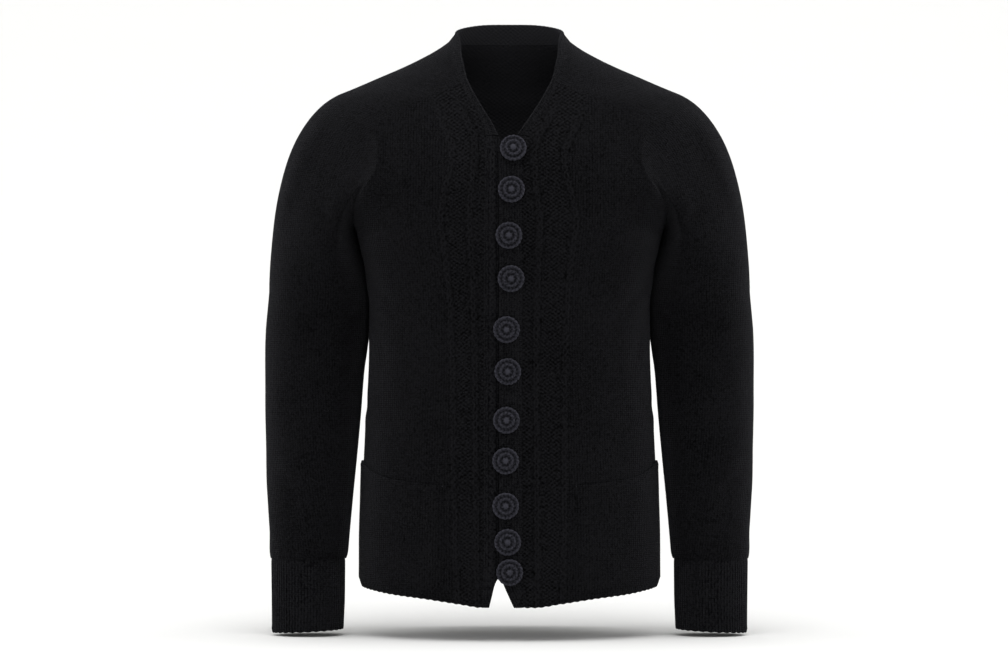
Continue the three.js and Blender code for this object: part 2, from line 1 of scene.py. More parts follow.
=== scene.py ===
"""A near-black knitted cardigan with saddle shoulders and eleven crocheted buttons.

Lengths in the tables are in millimetres and metres elsewhere. +X is the viewer's right,
+Y points away from the viewer and +Z up. "Right" and "left" are the viewer's.
"""
import math

import bpy
import numpy as np
from mathutils import Matrix, Vector


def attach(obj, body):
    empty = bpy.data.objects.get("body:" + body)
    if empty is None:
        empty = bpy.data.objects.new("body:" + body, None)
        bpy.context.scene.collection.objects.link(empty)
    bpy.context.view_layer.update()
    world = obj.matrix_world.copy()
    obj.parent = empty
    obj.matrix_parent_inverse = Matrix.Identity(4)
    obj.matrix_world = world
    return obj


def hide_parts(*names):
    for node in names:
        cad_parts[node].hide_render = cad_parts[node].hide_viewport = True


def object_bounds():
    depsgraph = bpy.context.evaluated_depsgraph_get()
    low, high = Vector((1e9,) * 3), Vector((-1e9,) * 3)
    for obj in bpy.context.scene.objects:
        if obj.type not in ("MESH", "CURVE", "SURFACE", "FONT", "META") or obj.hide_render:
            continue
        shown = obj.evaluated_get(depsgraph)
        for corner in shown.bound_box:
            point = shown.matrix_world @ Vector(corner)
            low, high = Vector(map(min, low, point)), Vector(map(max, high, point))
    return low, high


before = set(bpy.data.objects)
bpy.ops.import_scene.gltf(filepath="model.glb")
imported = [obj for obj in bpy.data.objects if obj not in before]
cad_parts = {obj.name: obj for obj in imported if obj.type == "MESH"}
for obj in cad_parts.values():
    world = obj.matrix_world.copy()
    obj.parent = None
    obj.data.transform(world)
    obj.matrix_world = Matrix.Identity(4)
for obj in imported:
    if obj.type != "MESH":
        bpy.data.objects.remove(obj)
cad_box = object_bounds()

MM = 0.001
WALL = 2.6
FULL_TURN = 2 * math.pi
HALF_TURN = math.pi
QUARTER_TURN = math.pi / 2
MIRROR = np.array([-1, 1, 1])

# An edge of the mesh that turns more than this is sharp.
CREASE_ANGLE = math.radians(55)

# One stitch of the plain knit: the width of a wale and the height of a course.
WALE = 3.1
COURSE = 2.35

# Depth before and behind the side seams: height, front, back, squareness (2 is an ellipse).
DEPTHS = [
    (-700, 100, 98, 2.5),
    (-560, 102, 99, 2.5),
    (-476, 101, 93, 2.5),
    (-400, 101, 88, 2.5),
    (-310, 105, 92.5, 2.62),
    (-225, 108.8, 102, 2.75),
    (-190, 108, 105, 2.55),
    (-152, 103.5, 106.5, 2.4),
    (-108, 92, 104, 2.35),
    (-80, 82, 98.5, 2.27),
    (-56, 71.5, 90, 2.18),
    (-32, 60, 79, 2.1),
    (-10, 50.5, 67, 2.02),
    (0, 47, 61.5, 2),
    (10, 45, 57, 2),
    (35, 42, 50, 2),
]

# Half width of the level ring that the cloth lies on: height, half width.
WIDTHS = [
    (-700, 178), (-600, 177.5), (-540, 176), (-476, 173), (-400, 169.3), (-350, 168.5),
    (-310, 169.3), (-280, 172), (-250, 178), (-225, 184), (-218, 188.5), (-210, 194.5),
    (-195, 211), (-180, 232), (-165, 253), (-152, 264), (-138, 264.5), (-116, 254),
    (-92, 239), (-80, 229), (-68, 213), (-56, 187.5), (-44, 161), (-32, 133.5),
    (-20, 107.5), (-11, 90), (-4, 79), (2, 71.5), (8, 66), (15, 62), (24, 58), (35, 56),
]

# The level whose ring the wales are counted on. Then about how far the side seam lies from
# the middle along the cloth, which spaces the columns.
WALE_LEVEL = -400.0
SIDE_REACH = 265

# The side seam's heights, then the armholes as height and distance from the middle.
SIDE_SEAM = [-650, -617, -584, -550, -515, -480, -445, -410, -375, -340, -305, -266]
ARMHOLE_FRONT = [
    (-225, 184), (-221.5, 185.7), (-212, 185.6), (-198, 182), (-180, 172), (-161, 159.5),
    (-142, 154.5), (-124, 157), (-108, 163),
]
ARMHOLE_BACK = [
    (-225, 184), (-221.5, 185.8), (-212, 187), (-197, 185.5), (-178, 180), (-157, 174),
    (-137, 170.5), (-118, 169.5), (-100, 170),
]

# The seams of the saddle, from the neck to the armhole: height, distance from the middle.
SADDLE_FRONT = [
    (-55, 56), (-59.5, 66), (-64, 77), (-68.5, 89), (-73.5, 101), (-79, 114), (-84.5, 126),
    (-91, 138), (-99, 150), (-108, 163),
]
SADDLE_BACK = [
    (2, 50.5), (-9, 66), (-20, 80), (-31, 94), (-43, 108), (-54, 121), (-66, 134),
    (-77, 147), (-89, 159), (-100, 170),
]

# The saddle's end over the shoulder: angle round the ring in degrees, height.
SADDLE_END = [(50, -92), (63, -77), (76, -66.5), (90, -62), (103, -65), (116, -74), (128, -86)]

# The neckband: angle and height of its seam, then angle and height of its free edge.
NECK_SIDE = [
    (17, -55, 13, -55),
    (21.5, -45, 17.5, -43),
    (28.5, -33, 23.8, -30),
    (37.5, -22, 33, -18),
    (48, -12.5, 48, -4),
    (65, -4, 66, 7),
    (90, 1, 90, 14.5),
    (113, 2, 114, 20.5),
    (135, 2, 136, 24.5),
]
NECK_BACK = [(150, 2.6, 150, 26.2), (165, 3, 165, 27), (180, 3, 180, 27.2)]

# The inner edge of each front: height, seam to the band or neckband, free edge of that band.
EDGE_HEIGHTS = [
    -669, -655, -641, -626, -580, -530, -480, -430, -380, -335, -290, -250, -215, -188, -162,
    -139, -117, -102, -87, -71, -55,
]
RIGHT_EDGE = [(14, 5), (14, -1.5), (14, -7.5)] + [(14, -12.2)] * 11 + [
    (14.3, -12.2), (15.5, -11.5), (20, 8), (30, 18.5), (39.5, 28.5), (49, 38.5), (56, 47.1)]
LEFT_EDGE = [(32, 24), (31.5, 20.5), (31, 16.5), (30.5, 8), (30, -6)] + [(30, -8)] * 8 + [
    (29.5, -8), (29, -8), (28.5, 1), (28, 13), (33, 20.5), (40.5, 29.5), (49, 39), (56, 47.1)]
FRONT_RIGHT, FRONT_LEFT = (
    [(z, *place) for z, place in zip(EDGE_HEIGHTS, edge)] for edge in (RIGHT_EDGE, LEFT_EDGE))
NECKBAND_FOOT = 16

# Where the columns of a front stand at the hem, and the height of the hem across it.
FRONT_COLUMNS = [37, 49, 61, 73, 97, 121, 143, 162]
HEM_FRONT = [(0, -669), (30, -669), (60, -665), (100, -659.5), (140, -655.5), (178, -650)]
HEM_BACK_MIDDLE = -645

# The sleeve and its cuff in level rings: height, inner x, outer x, half depth, middle y.
SLEEVE_RINGS = [
    (-300, 170.8, 288, 57, 0),
    (-345, 168.9, 292.6, 55, 12),
    (-368, 171.1, 293.6, 53.8, 14),
    (-395, 174.8, 294, 52, 13),
    (-445, 178.5, 293.5, 48.5, 7.5),
    (-495, 182.7, 292, 45, 0),
    (-545, 187.3, 289.5, 40.5, -8),
    (-585, 190.8, 287.1, 36, -13.5),
    (-610, 192.8, 286, 33, -16),
    (-617, 194.8, 285.2, 31.2, -16),
]
CUFF_RINGS = [
    (-617, 196.4, 284.4, 30, -16),
    (-658, 196.6, 283.8, 28.4, -17.5),
    (-703, 198.2, 283.2, 27, -19),
]
CUFF_SLANT = 2
CUFF_RIBS = 72
RIB_POINTS = 6

# The sleeve's columns run from the underarm up the front armhole, over the saddle's end and
# down the back armhole.
ARMHOLE_COLUMNS = len(ARMHOLE_FRONT) - 1
SADDLE_COLUMNS = len(SADDLE_END) + 1
SLEEVE_COLUMNS = 2 * ARMHOLE_COLUMNS + SADDLE_COLUMNS

# The length round the sleeve. The cap leaves the armhole in a curve: its length, how far
# each end pulls on it, and how much it spreads outward. Then the cloth by the armpit that is
# evened out: the columns and rows where that begins, is whole, fades and ends.
SLEEVE_ROUND = 360
CAP_LENGTH = 190
CAP_PULL = {"start": 0.27, "underarm": 0.33, "top": 0.44}
CAP_SPREAD = 0.7
RELAX_STEPS = 120
RELAX_COLUMNS = (0.8, 2.2, 6, 9)
RELAX_ROWS = (0, 2, 28, 48)

# The pocket lies on the front's outer columns, under a mouth given as heights on them.
POCKET_COLUMN = 4
POCKET_MOUTH = [-527, -525, -522.5, -519.5, -513, -501]
POCKET_FOOT = 0.06
LAYER_GAP = 0.6

# How deep a seam sinks and how far from it, and how far from it the folds fade out.
SEAM_DEPTH = 0.15
SEAM_WIDTH = 2.6
FOLD_FADE = 12

# The button's place on the front: distance from the middle, height.
BUTTONS = [
    (4.2, -133.5), (2.0, -181.7), (-0.9, -235.1), (1.6, -285.2), (-3.7, -344.4),
    (-2.3, -393.4), (-3.8, -450.1), (-4.7, -497.6), (-4.7, -550.0), (-2.3, -592.0),
    (0, -627.2),
]
BUTTON_RADIUS = 15.7
BUTTON_SEAT = 0.5
# Painted light on the button's crests and shade between: distance from its middle, share.
BUTTON_CRESTS = [
    (0, 1.2), (2.6, 1.0), (4.2, 0.45), (5.5, 0.2), (6.6, 0.6), (7.6, 0.85), (8.9, 0.85),
    (10, 0.55), (11, 0.3), (12.1, 0.65), (13.3, 0.9), (14.8, 0.9), (16.2, 0.75),
]
# The gaps between stitches, painted dark as shade: radius of the ring, how many, how they lean.
BUTTON_STITCHES = [(4.6, 7, 0.5), (8.2, 12, 1.1), (11.2, 17, -0.8), (14.2, 19, 0.9)]

LAP_LIFT = 1.9
LAP_EDGE = {"right": 13, "left": 19}
LAP_RAMP = 5
BAND_DROP = 1
BAND_RIBS = 4
RIB_HEIGHT = 0.8

# A raised strip of two crossed strands: length of one full crossing, swing to each side,
# half width of a strand, half width of the strip. Then the strip on the lower band.
STRIP = {"pitch": 17, "swing": 2.5, "strand": 2.5, "reach": 4.8}
BAND_STRIP = 20


def curve(xs, ys):
    """A smooth curve through points, which never swings past them."""
    xs = np.asarray(xs, float)
    ys = np.asarray(ys, float)
    if xs[0] > xs[-1]:
        xs, ys = xs[::-1], ys[::-1]
    rise = np.diff(ys) / np.diff(xs)
    product = rise[:-1] * rise[1:]
    total = np.where(rise[:-1] + rise[1:] == 0, 1, rise[:-1] + rise[1:])
    inside = np.where(product > 0, 2 * product / total, 0)
    slopes = np.concatenate([rise[:1], inside, rise[-1:]])

    def value(x):
        i = np.clip(np.searchsorted(xs, x, side="right") - 1, 0, len(xs) - 2)
        step = xs[i + 1] - xs[i]
        t = np.clip((x - xs[i]) / step, 0, 1)
        near = (1 + 2 * t) * (1 - t) ** 2 * ys[i] + t * (1 - t) ** 2 * step * slopes[i]
        far = t * t * (3 - 2 * t) * ys[i + 1] - t * t * (1 - t) * step * slopes[i + 1]
        return near + far

    return value


def by_height(table, column):
    return curve([row[0] for row in table], [row[column] for row in table])


def by_row(table, column=0):
    """A column of a table against the row's number, counted from zero."""
    values = [row[column] if isinstance(row, tuple) else row for row in table]
    return curve(range(len(values)), values)


def seam_line(table):
    """A seam that gives the distance from the middle and the height at a row."""
    across, height = by_row(table, 1), by_row(table, 0)
    return lambda row: (across(row), height(row))


half_width = by_height(WIDTHS, 1)
front_depth = by_height(DEPTHS, 1)
back_depth = by_height(DEPTHS, 2)
squareness = by_height(DEPTHS, 3)
hem_height = by_height(HEM_FRONT, 1)


def smooth_step(low, high, value):
    t = np.clip((value - low) / (high - low), 0, 1)
    return t * t * (3 - 2 * t)


def window(value, start, whole, fading, end):
    """A weight that rises from start to whole and goes again from fading to end."""
    return smooth_step(start, whole, value) * smooth_step(end, fading, value)


def bell(value, middle, width):
    """A soft bump of height one round a middle."""
    return np.exp(-((value - middle) / width) ** 2)


def body_point(angle, z):
    """A point of the body's outer face. The angle is 0 at the front and a half turn behind."""
    power = 2 / squareness(z)
    across = np.abs(np.sin(np.clip(angle, 0, HALF_TURN))) ** power
    along = np.abs(np.cos(angle)) ** power
    depth = np.where(angle < QUARTER_TURN, -front_depth(z), back_depth(z))
    return np.stack([half_width(z) * across, depth * along, z + 0 * angle], axis=-1)


def front_angle(x, z):
    share = np.clip(x / half_width(z), 0, 1)
    return np.arcsin(share ** (squareness(z) / 2))


def front_point(x, z, lift=0):
    """A point of the front near the middle, where x may have either sign."""
    point = body_point(front_angle(np.abs(x), z), z)
    point[..., 0] = x
    point[..., 1] -= lift
    return point


def panel_limit(armhole):
    edge = by_height(armhole, 1)
    return lambda z: np.where(z < armhole[0][0], half_width(z), edge(z))


limit_front = panel_limit(ARMHOLE_FRONT)
limit_back = panel_limit(ARMHOLE_BACK)


def panel_turn(x, z, limit):
    """The turn of a panel's point: none in the middle, a quarter at the side or armhole."""
    return np.arcsin(np.clip(x / limit(z), 0, 1) ** (squareness(z) / 2))


def panel_point(turn, z, limit, behind=False):
    x = limit(z) * np.clip(np.sin(turn), 0, 1) ** (2 / squareness(z))
    angle = front_angle(x, z)
    return body_point(HALF_TURN - angle if behind else angle, z)


def fill(bottom, top, left, right, i, j, rows, columns):
    """Fills four edges with a grid. Each edge gives its angle and height at a row or column."""
    u = (j / columns)[None, :]
    v = (i / rows)[:, None]
    result = []
    for part in (0, 1):
        low, high = bottom(j)[part][None, :], top(j)[part][None, :]
        near, far = left(i)[part][:, None], right(i)[part][:, None]
        corners = (1 - v) * ((1 - u) * low[:, :1] + u * low[:, -1:])
        corners = corners + v * ((1 - u) * high[:, :1] + u * high[:, -1:])
        result.append((1 - v) * low + v * high + (1 - u) * near + u * far - corners)
    return result


def steps(lengths, size):
    """Row or column numbers, with parts of a row, so that each step is about one size."""
    places = [0.0]
    for k, length in enumerate(lengths):
        count = max(1, round(length / size))
        places.extend(k + n / count for n in range(1, count + 1))
    return np.array(places)


front_rows = by_row(SIDE_SEAM + [z for z, _ in ARMHOLE_FRONT])
back_rows = by_row(SIDE_SEAM + [z for z, _ in ARMHOLE_BACK])
ROW_COUNT = len(SIDE_SEAM) + len(ARMHOLE_FRONT) - 1
FIRST_ARMHOLE_ROW = len(SIDE_SEAM)
row_lengths = np.abs(np.diff(SIDE_SEAM + [z for z, _ in ARMHOLE_FRONT]))

neck_degrees = [math.degrees(front_angle(SADDLE_FRONT[0][1], SADDLE_FRONT[0][0]))]
neck_degrees += [row[0] for row in NECK_SIDE[1:-1]]
neck_degrees += [180 - math.degrees(front_angle(SADDLE_BACK[0][1], SADDLE_BACK[0][0]))]
neck_degrees += [row[0] for row in NECK_BACK]
neck_heights = [row[1] for row in NECK_SIDE + NECK_BACK]
neck_turn = by_row([math.radians(value) for value in neck_degrees])
neck_height = by_row(neck_heights)
NECK_CORNER = len(NECK_SIDE) - 1


def front_grid(edge, row_step, column_step):
    """A front from its band to the side seam and the armhole, with its rows and columns."""
    hem_x = by_row([edge[0][1]] + FRONT_COLUMNS + [float(limit_front(SIDE_SEAM[0]))])
    columns = len(FRONT_COLUMNS) + 1
    i = steps(row_lengths, row_step)
    arcs = np.diff([edge[0][1]] + FRONT_COLUMNS + [SIDE_REACH])
    j = steps(arcs, column_step)

    def bottom(column):
        x = hem_x(column)
        z = hem_height(x)
        return panel_turn(x, z, limit_front), z

    def top(column):
        x, z = seam_line(SADDLE_FRONT)(column)
        return panel_turn(x, z, limit_front), z

    def left(row):
        x, z = seam_line(edge)(row)
        return panel_turn(x, z, limit_front), z

    def right(row):
        return np.full(len(row), QUARTER_TURN), front_rows(row)

    turn, z = fill(bottom, top, left, right, i, j, ROW_COUNT, columns)
    return panel_point(turn, z, limit_front), i, j


def back_grid(row_step, column_step):
    """The whole back, from the right side seam round to the left one."""
    seam_columns = len(SADDLE_BACK) - 1
    columns = seam_columns + len(NECK_BACK)
    i = steps(row_lengths, row_step)
    j = steps([SIDE_REACH / columns] * columns, column_step)

    def bottom(column):
        share = column / columns
        return QUARTER_TURN * (1 - share), SIDE_SEAM[0] + (HEM_BACK_MIDDLE - SIDE_SEAM[0]) * share

    def top(column):
        x, z = seam_line(SADDLE_BACK)(np.clip(seam_columns - column, 0, seam_columns))
        neck = np.clip(column - seam_columns, 0, None) + NECK_CORNER
        neck_z = neck_height(neck)
        neck_x = body_point(neck_turn(neck), neck_z)[..., 0]
        on_neck = column > seam_columns
        x, z = np.where(on_neck, neck_x, x), np.where(on_neck, neck_z, z)
        return panel_turn(x, z, limit_back), z

    def side(row):
        return np.full(len(row), QUARTER_TURN), back_rows(row)

    def middle(row):
        share = row / ROW_COUNT
        return 0 * row, HEM_BACK_MIDDLE + (neck_heights[-1] - HEM_BACK_MIDDLE) * share

    turn, z = fill(bottom, top, side, middle, i, j, ROW_COUNT, columns)
    half = panel_point(turn, z, limit_back, behind=True)
    twin = half[:, -2::-1] * MIRROR
    return np.concatenate([half, twin], axis=1), i, np.concatenate([j, 2 * columns - j[:-1][::-1]])


def saddle_grid(j, row_step):
    """The saddle, from the neckband to the shoulder's end, on columns j of the sleeve."""
    end_turns = [math.radians(angle) for angle, _ in SADDLE_END]
    end_heights = [z for _, z in SADDLE_END]
    front_end, back_end = ARMHOLE_FRONT[-1], ARMHOLE_BACK[-1]
    first = float(front_angle(front_end[1], front_end[0]))
    last = HALF_TURN - float(front_angle(back_end[1], back_end[0]))
    end_turn = by_row([first] + end_turns + [last])
    end_height = by_row([front_end[0]] + end_heights + [back_end[0]])
    rows = len(SADDLE_FRONT) - 1

    def front(row):
        x, z = seam_line(SADDLE_FRONT)(row)
        return front_angle(x, z), z

    def back(row):
        x, z = seam_line(SADDLE_BACK)(row)
        return HALF_TURN - front_angle(x, z), z

    i = steps([14] * rows, row_step)
    angle, z = fill(
        lambda column: (neck_turn(column), neck_height(column)),
        lambda column: (end_turn(column), end_height(column)),
        front, back, i, j, rows, len(end_turns) + 1)
    return body_point(angle, z)


def ring_point(ring, turn, slant=0):
    z, inner, outer, depth, y = ring
    x = (inner + outer) / 2 - (outer - inner) / 2 * np.cos(turn)
    return np.stack([x, y - depth * np.sin(turn), z + slant * np.cos(turn)], axis=-1)


def tube_grid(table, rows, turns, slant=0):
    """A tube through a table's rings. Past the first ring they slant."""
    rings = np.stack([by_row(table, part)(rows) for part in range(5)], axis=-1)
    slants = slant * np.clip(rows - 1, 0, 1)
    return np.stack([ring_point(ring, turns, lean) for ring, lean in zip(rings, slants)])


def cap_facing(start):
    """The way the body's face looks at each point of the armhole and the saddle's end."""
    x, y, z = start[..., 0], start[..., 1], start[..., 2]
    half, square = half_width(z), squareness(z)
    depth = np.where(y < 0, front_depth(z), back_depth(z))
    across = np.clip(np.abs(x) / half, 0, 1) ** (square - 1) / half
    along = np.sign(y) * np.clip(np.abs(y) / depth, 0, 1) ** (square - 1) / depth
    spread = (half_width(z + 1) - half_width(z - 1)) / 2
    lifted = spread * smooth_step(ARMHOLE_FRONT[5][0], ARMHOLE_FRONT[6][0], z)
    facing = np.stack([across, along, -lifted * across], axis=-1)
    return facing / np.linalg.norm(facing, axis=-1, keepdims=True)


def relaxed(sleeve, low):
    """Evens out the cloth in front of and behind the armpit, as if it had settled there."""
    row = np.arange(len(sleeve))
    share = window(low, *RELAX_COLUMNS) * window(row, *RELAX_ROWS)[:, None]
    for _ in range(RELAX_STEPS):
        around = np.roll(sleeve, 1, axis=0) + np.roll(sleeve, -1, axis=0)
        around = around + np.roll(sleeve, 1, axis=1) + np.roll(sleeve, -1, axis=1)
        sleeve = sleeve + 0.5 * share[..., None] * (around / 4 - sleeve)
    return sleeve


def sleeve_grids(row_step, column_step):
    """The saddle's grid, the sleeve's grid, and the sleeve's column numbers."""
    columns = SLEEVE_COLUMNS
    j = steps([SLEEVE_ROUND / columns] * columns, column_step)
    past_saddle = j > ARMHOLE_COLUMNS + SADDLE_COLUMNS
    saddle = saddle_grid(j[(j >= ARMHOLE_COLUMNS) & ~past_saddle] - ARMHOLE_COLUMNS, row_step)
    front_z = front_rows(FIRST_ARMHOLE_ROW + j[j < ARMHOLE_COLUMNS])
    back_z = back_rows(FIRST_ARMHOLE_ROW + columns - j[past_saddle])
    start = np.concatenate([
        panel_point(np.full(len(front_z), QUARTER_TURN), front_z, limit_front),
        saddle[-1],
        panel_point(np.full(len(back_z), QUARTER_TURN), back_z, limit_back, behind=True),
    ])
    start[-1] = start[0]
    turns = FULL_TURN * j / columns
    ends = ring_point(SLEEVE_RINGS[0], turns)
    reach = np.linalg.norm(ends - start, axis=-1, keepdims=True)
    facing = cap_facing(start)
    away = (ends - start) / reach
    away = away - facing * np.sum(away * facing, axis=-1, keepdims=True)
    # The cloth leaves the armhole to its outer side, so that it doesn't fold over the front.
    outward = np.cross(np.gradient(start, axis=0), facing)
    outward = outward / np.linalg.norm(outward, axis=-1, keepdims=True)
    short = np.clip(CAP_SPREAD - np.sum(away * outward, axis=-1, keepdims=True), 0, None)
    away = away + outward * short * smooth_step(0, 0.5, np.sin(turns / 2))[:, None]
    away = away / np.linalg.norm(away, axis=-1, keepdims=True)
    high = ((1 - np.cos(turns)) / 2)[:, None]
    pull = CAP_PULL["underarm"] + (CAP_PULL["top"] - CAP_PULL["underarm"]) * high
    first = start + away * CAP_PULL["start"] * reach
    second = ends + np.array([0, 0, 1]) * pull * reach
    t = np.linspace(0, 1, round(CAP_LENGTH / row_step) + 1)[:, None, None]
    cap = (1 - t) ** 3 * start + 3 * (1 - t) ** 2 * t * first
    cap = cap + 3 * (1 - t) * t * t * second + t ** 3 * ends
    lengths = np.abs(np.diff([ring[0] for ring in SLEEVE_RINGS]))
    tube = tube_grid(SLEEVE_RINGS, steps(lengths, row_step)[1:], turns)
    sleeve = np.concatenate([cap, tube])
    sleeve[:, -1] = sleeve[:, 0]
    return saddle, relaxed(sleeve, np.minimum(j, columns - j)), j


def cuff_grid(row_step):
    columns = CUFF_RIBS * RIB_POINTS
    turns = FULL_TURN * np.arange(columns + 1) / columns
    rows = steps(np.abs(np.diff([ring[0] for ring in CUFF_RINGS])), row_step)
    grid = tube_grid(CUFF_RINGS, rows, turns, CUFF_SLANT)
    grid[:, -1] = grid[:, 0]
    return grid, turns


def neckband_grid(step, across_count):
    """The neckband from the foot of the right V over the back neck to the left one."""
    def along_v(edge):
        lengths = [20, 17, 18, 16]
        row = NECKBAND_FOOT + steps(lengths, step)
        z, seam, free = (by_row(edge, part)(row) for part in range(3))
        return body_point(front_angle(seam, z), z), body_point(front_angle(free, z), z)

    free_turn = by_row([math.radians(row[2]) for row in NECK_SIDE + NECK_BACK])
    free_height = by_row([row[3] for row in NECK_SIDE + NECK_BACK])
    row = steps([14, 15, 15, 15, 18, 21, 20, 16, 13, 13, 13], step)
    seam = body_point(neck_turn(row), neck_height(row))
    free = body_point(free_turn(row), free_height(row))
    lines = zip(along_v(FRONT_RIGHT), (seam, free), along_v(FRONT_LEFT))
    seams, frees = (
        np.concatenate([right[:-1], own, MIRROR * own[-2::-1], MIRROR * left[-2::-1]])
        for right, own, left in lines)
    shares = np.linspace(0, 1, across_count + 1)[:, None, None]
    return seams + (frees - seams) * shares, shares[:, 0, 0]


def band_grid(edge, side, row_step, columns):
    """A front band. Past the lap it stands out in front, or lies behind."""
    sign = 1 if side == "right" else -1
    lengths = np.abs(np.diff([row[0] for row in edge[:NECKBAND_FOOT + 1]]))
    i = steps(lengths, row_step)
    z, seam, free = (by_row(edge, part)(i)[:, None] for part in range(3))
    share = np.linspace(0, 1, columns + 1)[None, :]
    own_x = free + (seam - free) * share
    lift = sign * LAP_LIFT * np.clip((LAP_EDGE[side] - own_x) / LAP_RAMP, 0, 1)
    drop = BAND_DROP * np.clip(i - NECKBAND_FOOT + 1, 0, 1)[:, None] * (share < 1)
    grid = front_point(sign * own_x, z - drop + 0 * own_x, lift)
    return (grid if side == "right" else grid[:, ::-1]), i, share[0]


def row_of_height(grid, column, z):
    """The row, and part of a row, at which a column of the grid reaches a height."""
    heights = grid[:, column, 2]
    return np.interp(z, heights, np.arange(len(heights)))


def lengths_from(grid, axis, zero):
    """Distance along the rows (axis 1) or columns (axis 0), counted from line number zero."""
    gaps = np.linalg.norm(np.diff(grid, axis=axis), axis=-1)
    total = np.cumsum(gaps, axis=axis)
    start = np.zeros_like(np.take(total, [0], axis=axis))
    total = np.concatenate([start, total], axis=axis)
    return total - np.take(total, [zero], axis=axis)


def body_wales(grid):
    """Stitch coordinates on the body: wales stand upright, courses run round it."""
    x, z = np.abs(grid[..., 0]), grid[..., 2]
    turns = np.linspace(0, QUARTER_TURN, 400)
    ring = body_point(turns, np.full(400, WALE_LEVEL))
    arc = np.concatenate([[0], np.cumsum(np.linalg.norm(np.diff(ring, axis=0), axis=1))])
    widest = half_width(np.minimum(z, ARMHOLE_FRONT[0][0]))
    share = np.clip(x / widest, 0, 1) * half_width(WALE_LEVEL)
    across = np.interp(share, ring[:, 0], arc)
    return across * np.sign(grid[..., 0] + 1e-9), z


def soft_fold(u, v, start, end, depth, width):
    """A soft uneven trough between two places, with a lower ridge beside it."""
    along = np.array(end, float) - start
    length = np.linalg.norm(along)
    along = along / length
    t = ((u - start[0]) * along[0] + (v - start[1]) * along[1]) / length
    off = (u - start[0]) * -along[1] + (v - start[1]) * along[0]
    off = off + 0.35 * width * np.sin(5.1 * t + start[0])
    wide = width * (1 + 0.35 * np.sin(3.7 * t + start[1]))
    weight = window(t, -0.15, 0.3, 0.7, 1.15) * (1 + 0.25 * np.sin(7.3 * t + depth))
    trough = -depth * bell(off, 0, wide)
    ridge = 0.55 * depth * bell(off, 1.7 * wide, wide)
    return weight * (trough + ridge)


def unevenness(u, v, size):
    """The slow wander of a hand-steamed knit, the same on every run."""
    wave = np.sin(u / 31 + 1.3 * np.sin(v / 47)) + np.sin(v / 38 - 0.9 * np.sin(u / 59 + 2))
    wave = wave + 0.6 * np.sin((u + v) / 19 + 1.1) * np.sin((u - 2 * v) / 73)
    return size * wave / 2.6


def edge_dip(grid, sides, depth=SEAM_DEPTH, reach=SEAM_WIDTH):
    """How far the face sinks beside the named borders, as at a seam or a rounded edge."""
    dip = np.zeros(grid.shape[:2])
    ends = {"bottom": (0, 0), "top": (0, -1), "left": (1, 0), "right": (1, -1)}
    for side in sides:
        axis, line = ends[side]
        distance = np.abs(lengths_from(grid, axis, line))
        dip = np.minimum(dip, -depth * (1 - smooth_step(0, reach, distance)))
    return dip


def away_from(grid, sides, reach=FOLD_FADE):
    """A weight that is nothing on the named borders and whole a little way from them."""
    return 1 + edge_dip(grid, sides, 1, reach)


def hemmed(grid, u, relief):
    """A soft roll above the hem, a rounded edge and the small scallops of its stitches."""
    hem = np.abs(lengths_from(grid, 0, 0))
    relief = relief + 0.6 * bell(hem, 6, 4) - 0.6 * (1 - smooth_step(0, 2.5, hem))
    scallop = 0.45 * np.cos(FULL_TURN * u / 8) * (1 - smooth_step(0, 9, hem))
    return grid + scallop[..., None] * np.array([0, 0, 1]), relief


def add_object(name, data):
    """Adds an object at the origin."""
    thing = bpy.data.objects.new(name, data)
    bpy.context.scene.collection.objects.link(thing)
    return thing


def joined(sheets, part):
    return np.concatenate([sheet[part].reshape(-1, *sheet[part].shape[2:]) for sheet in sheets])


def numbered_quads(sheets):
    """The four corners of every cell of the grids, going round as seen from outside."""
    corners = []
    start = 0
    for sheet in sheets:
        rows, columns = sheet["grid"].shape[:2]
        number = start + np.arange(rows * columns).reshape(rows, columns)
        cells = [number[:-1, :-1], number[:-1, 1:], number[1:, 1:], number[1:, :-1]]
        cells = cells[::-1] if sheet["turned"] else cells
        corners.append(np.stack(cells, axis=-1).reshape(-1, 4))
        start += rows * columns
    return np.concatenate(corners)


def border_of(quads, shared):
    """The edges that only one cell uses, each from its first corner to its second."""
    edges = np.stack([quads, np.roll(quads, -1, axis=1)], axis=-1).reshape(-1, 2)
    ends = np.sort(shared[edges], axis=1)
    _, places, uses = np.unique(ends, axis=0, return_inverse=True, return_counts=True)
    return edges[uses[places.ravel()] == 1]


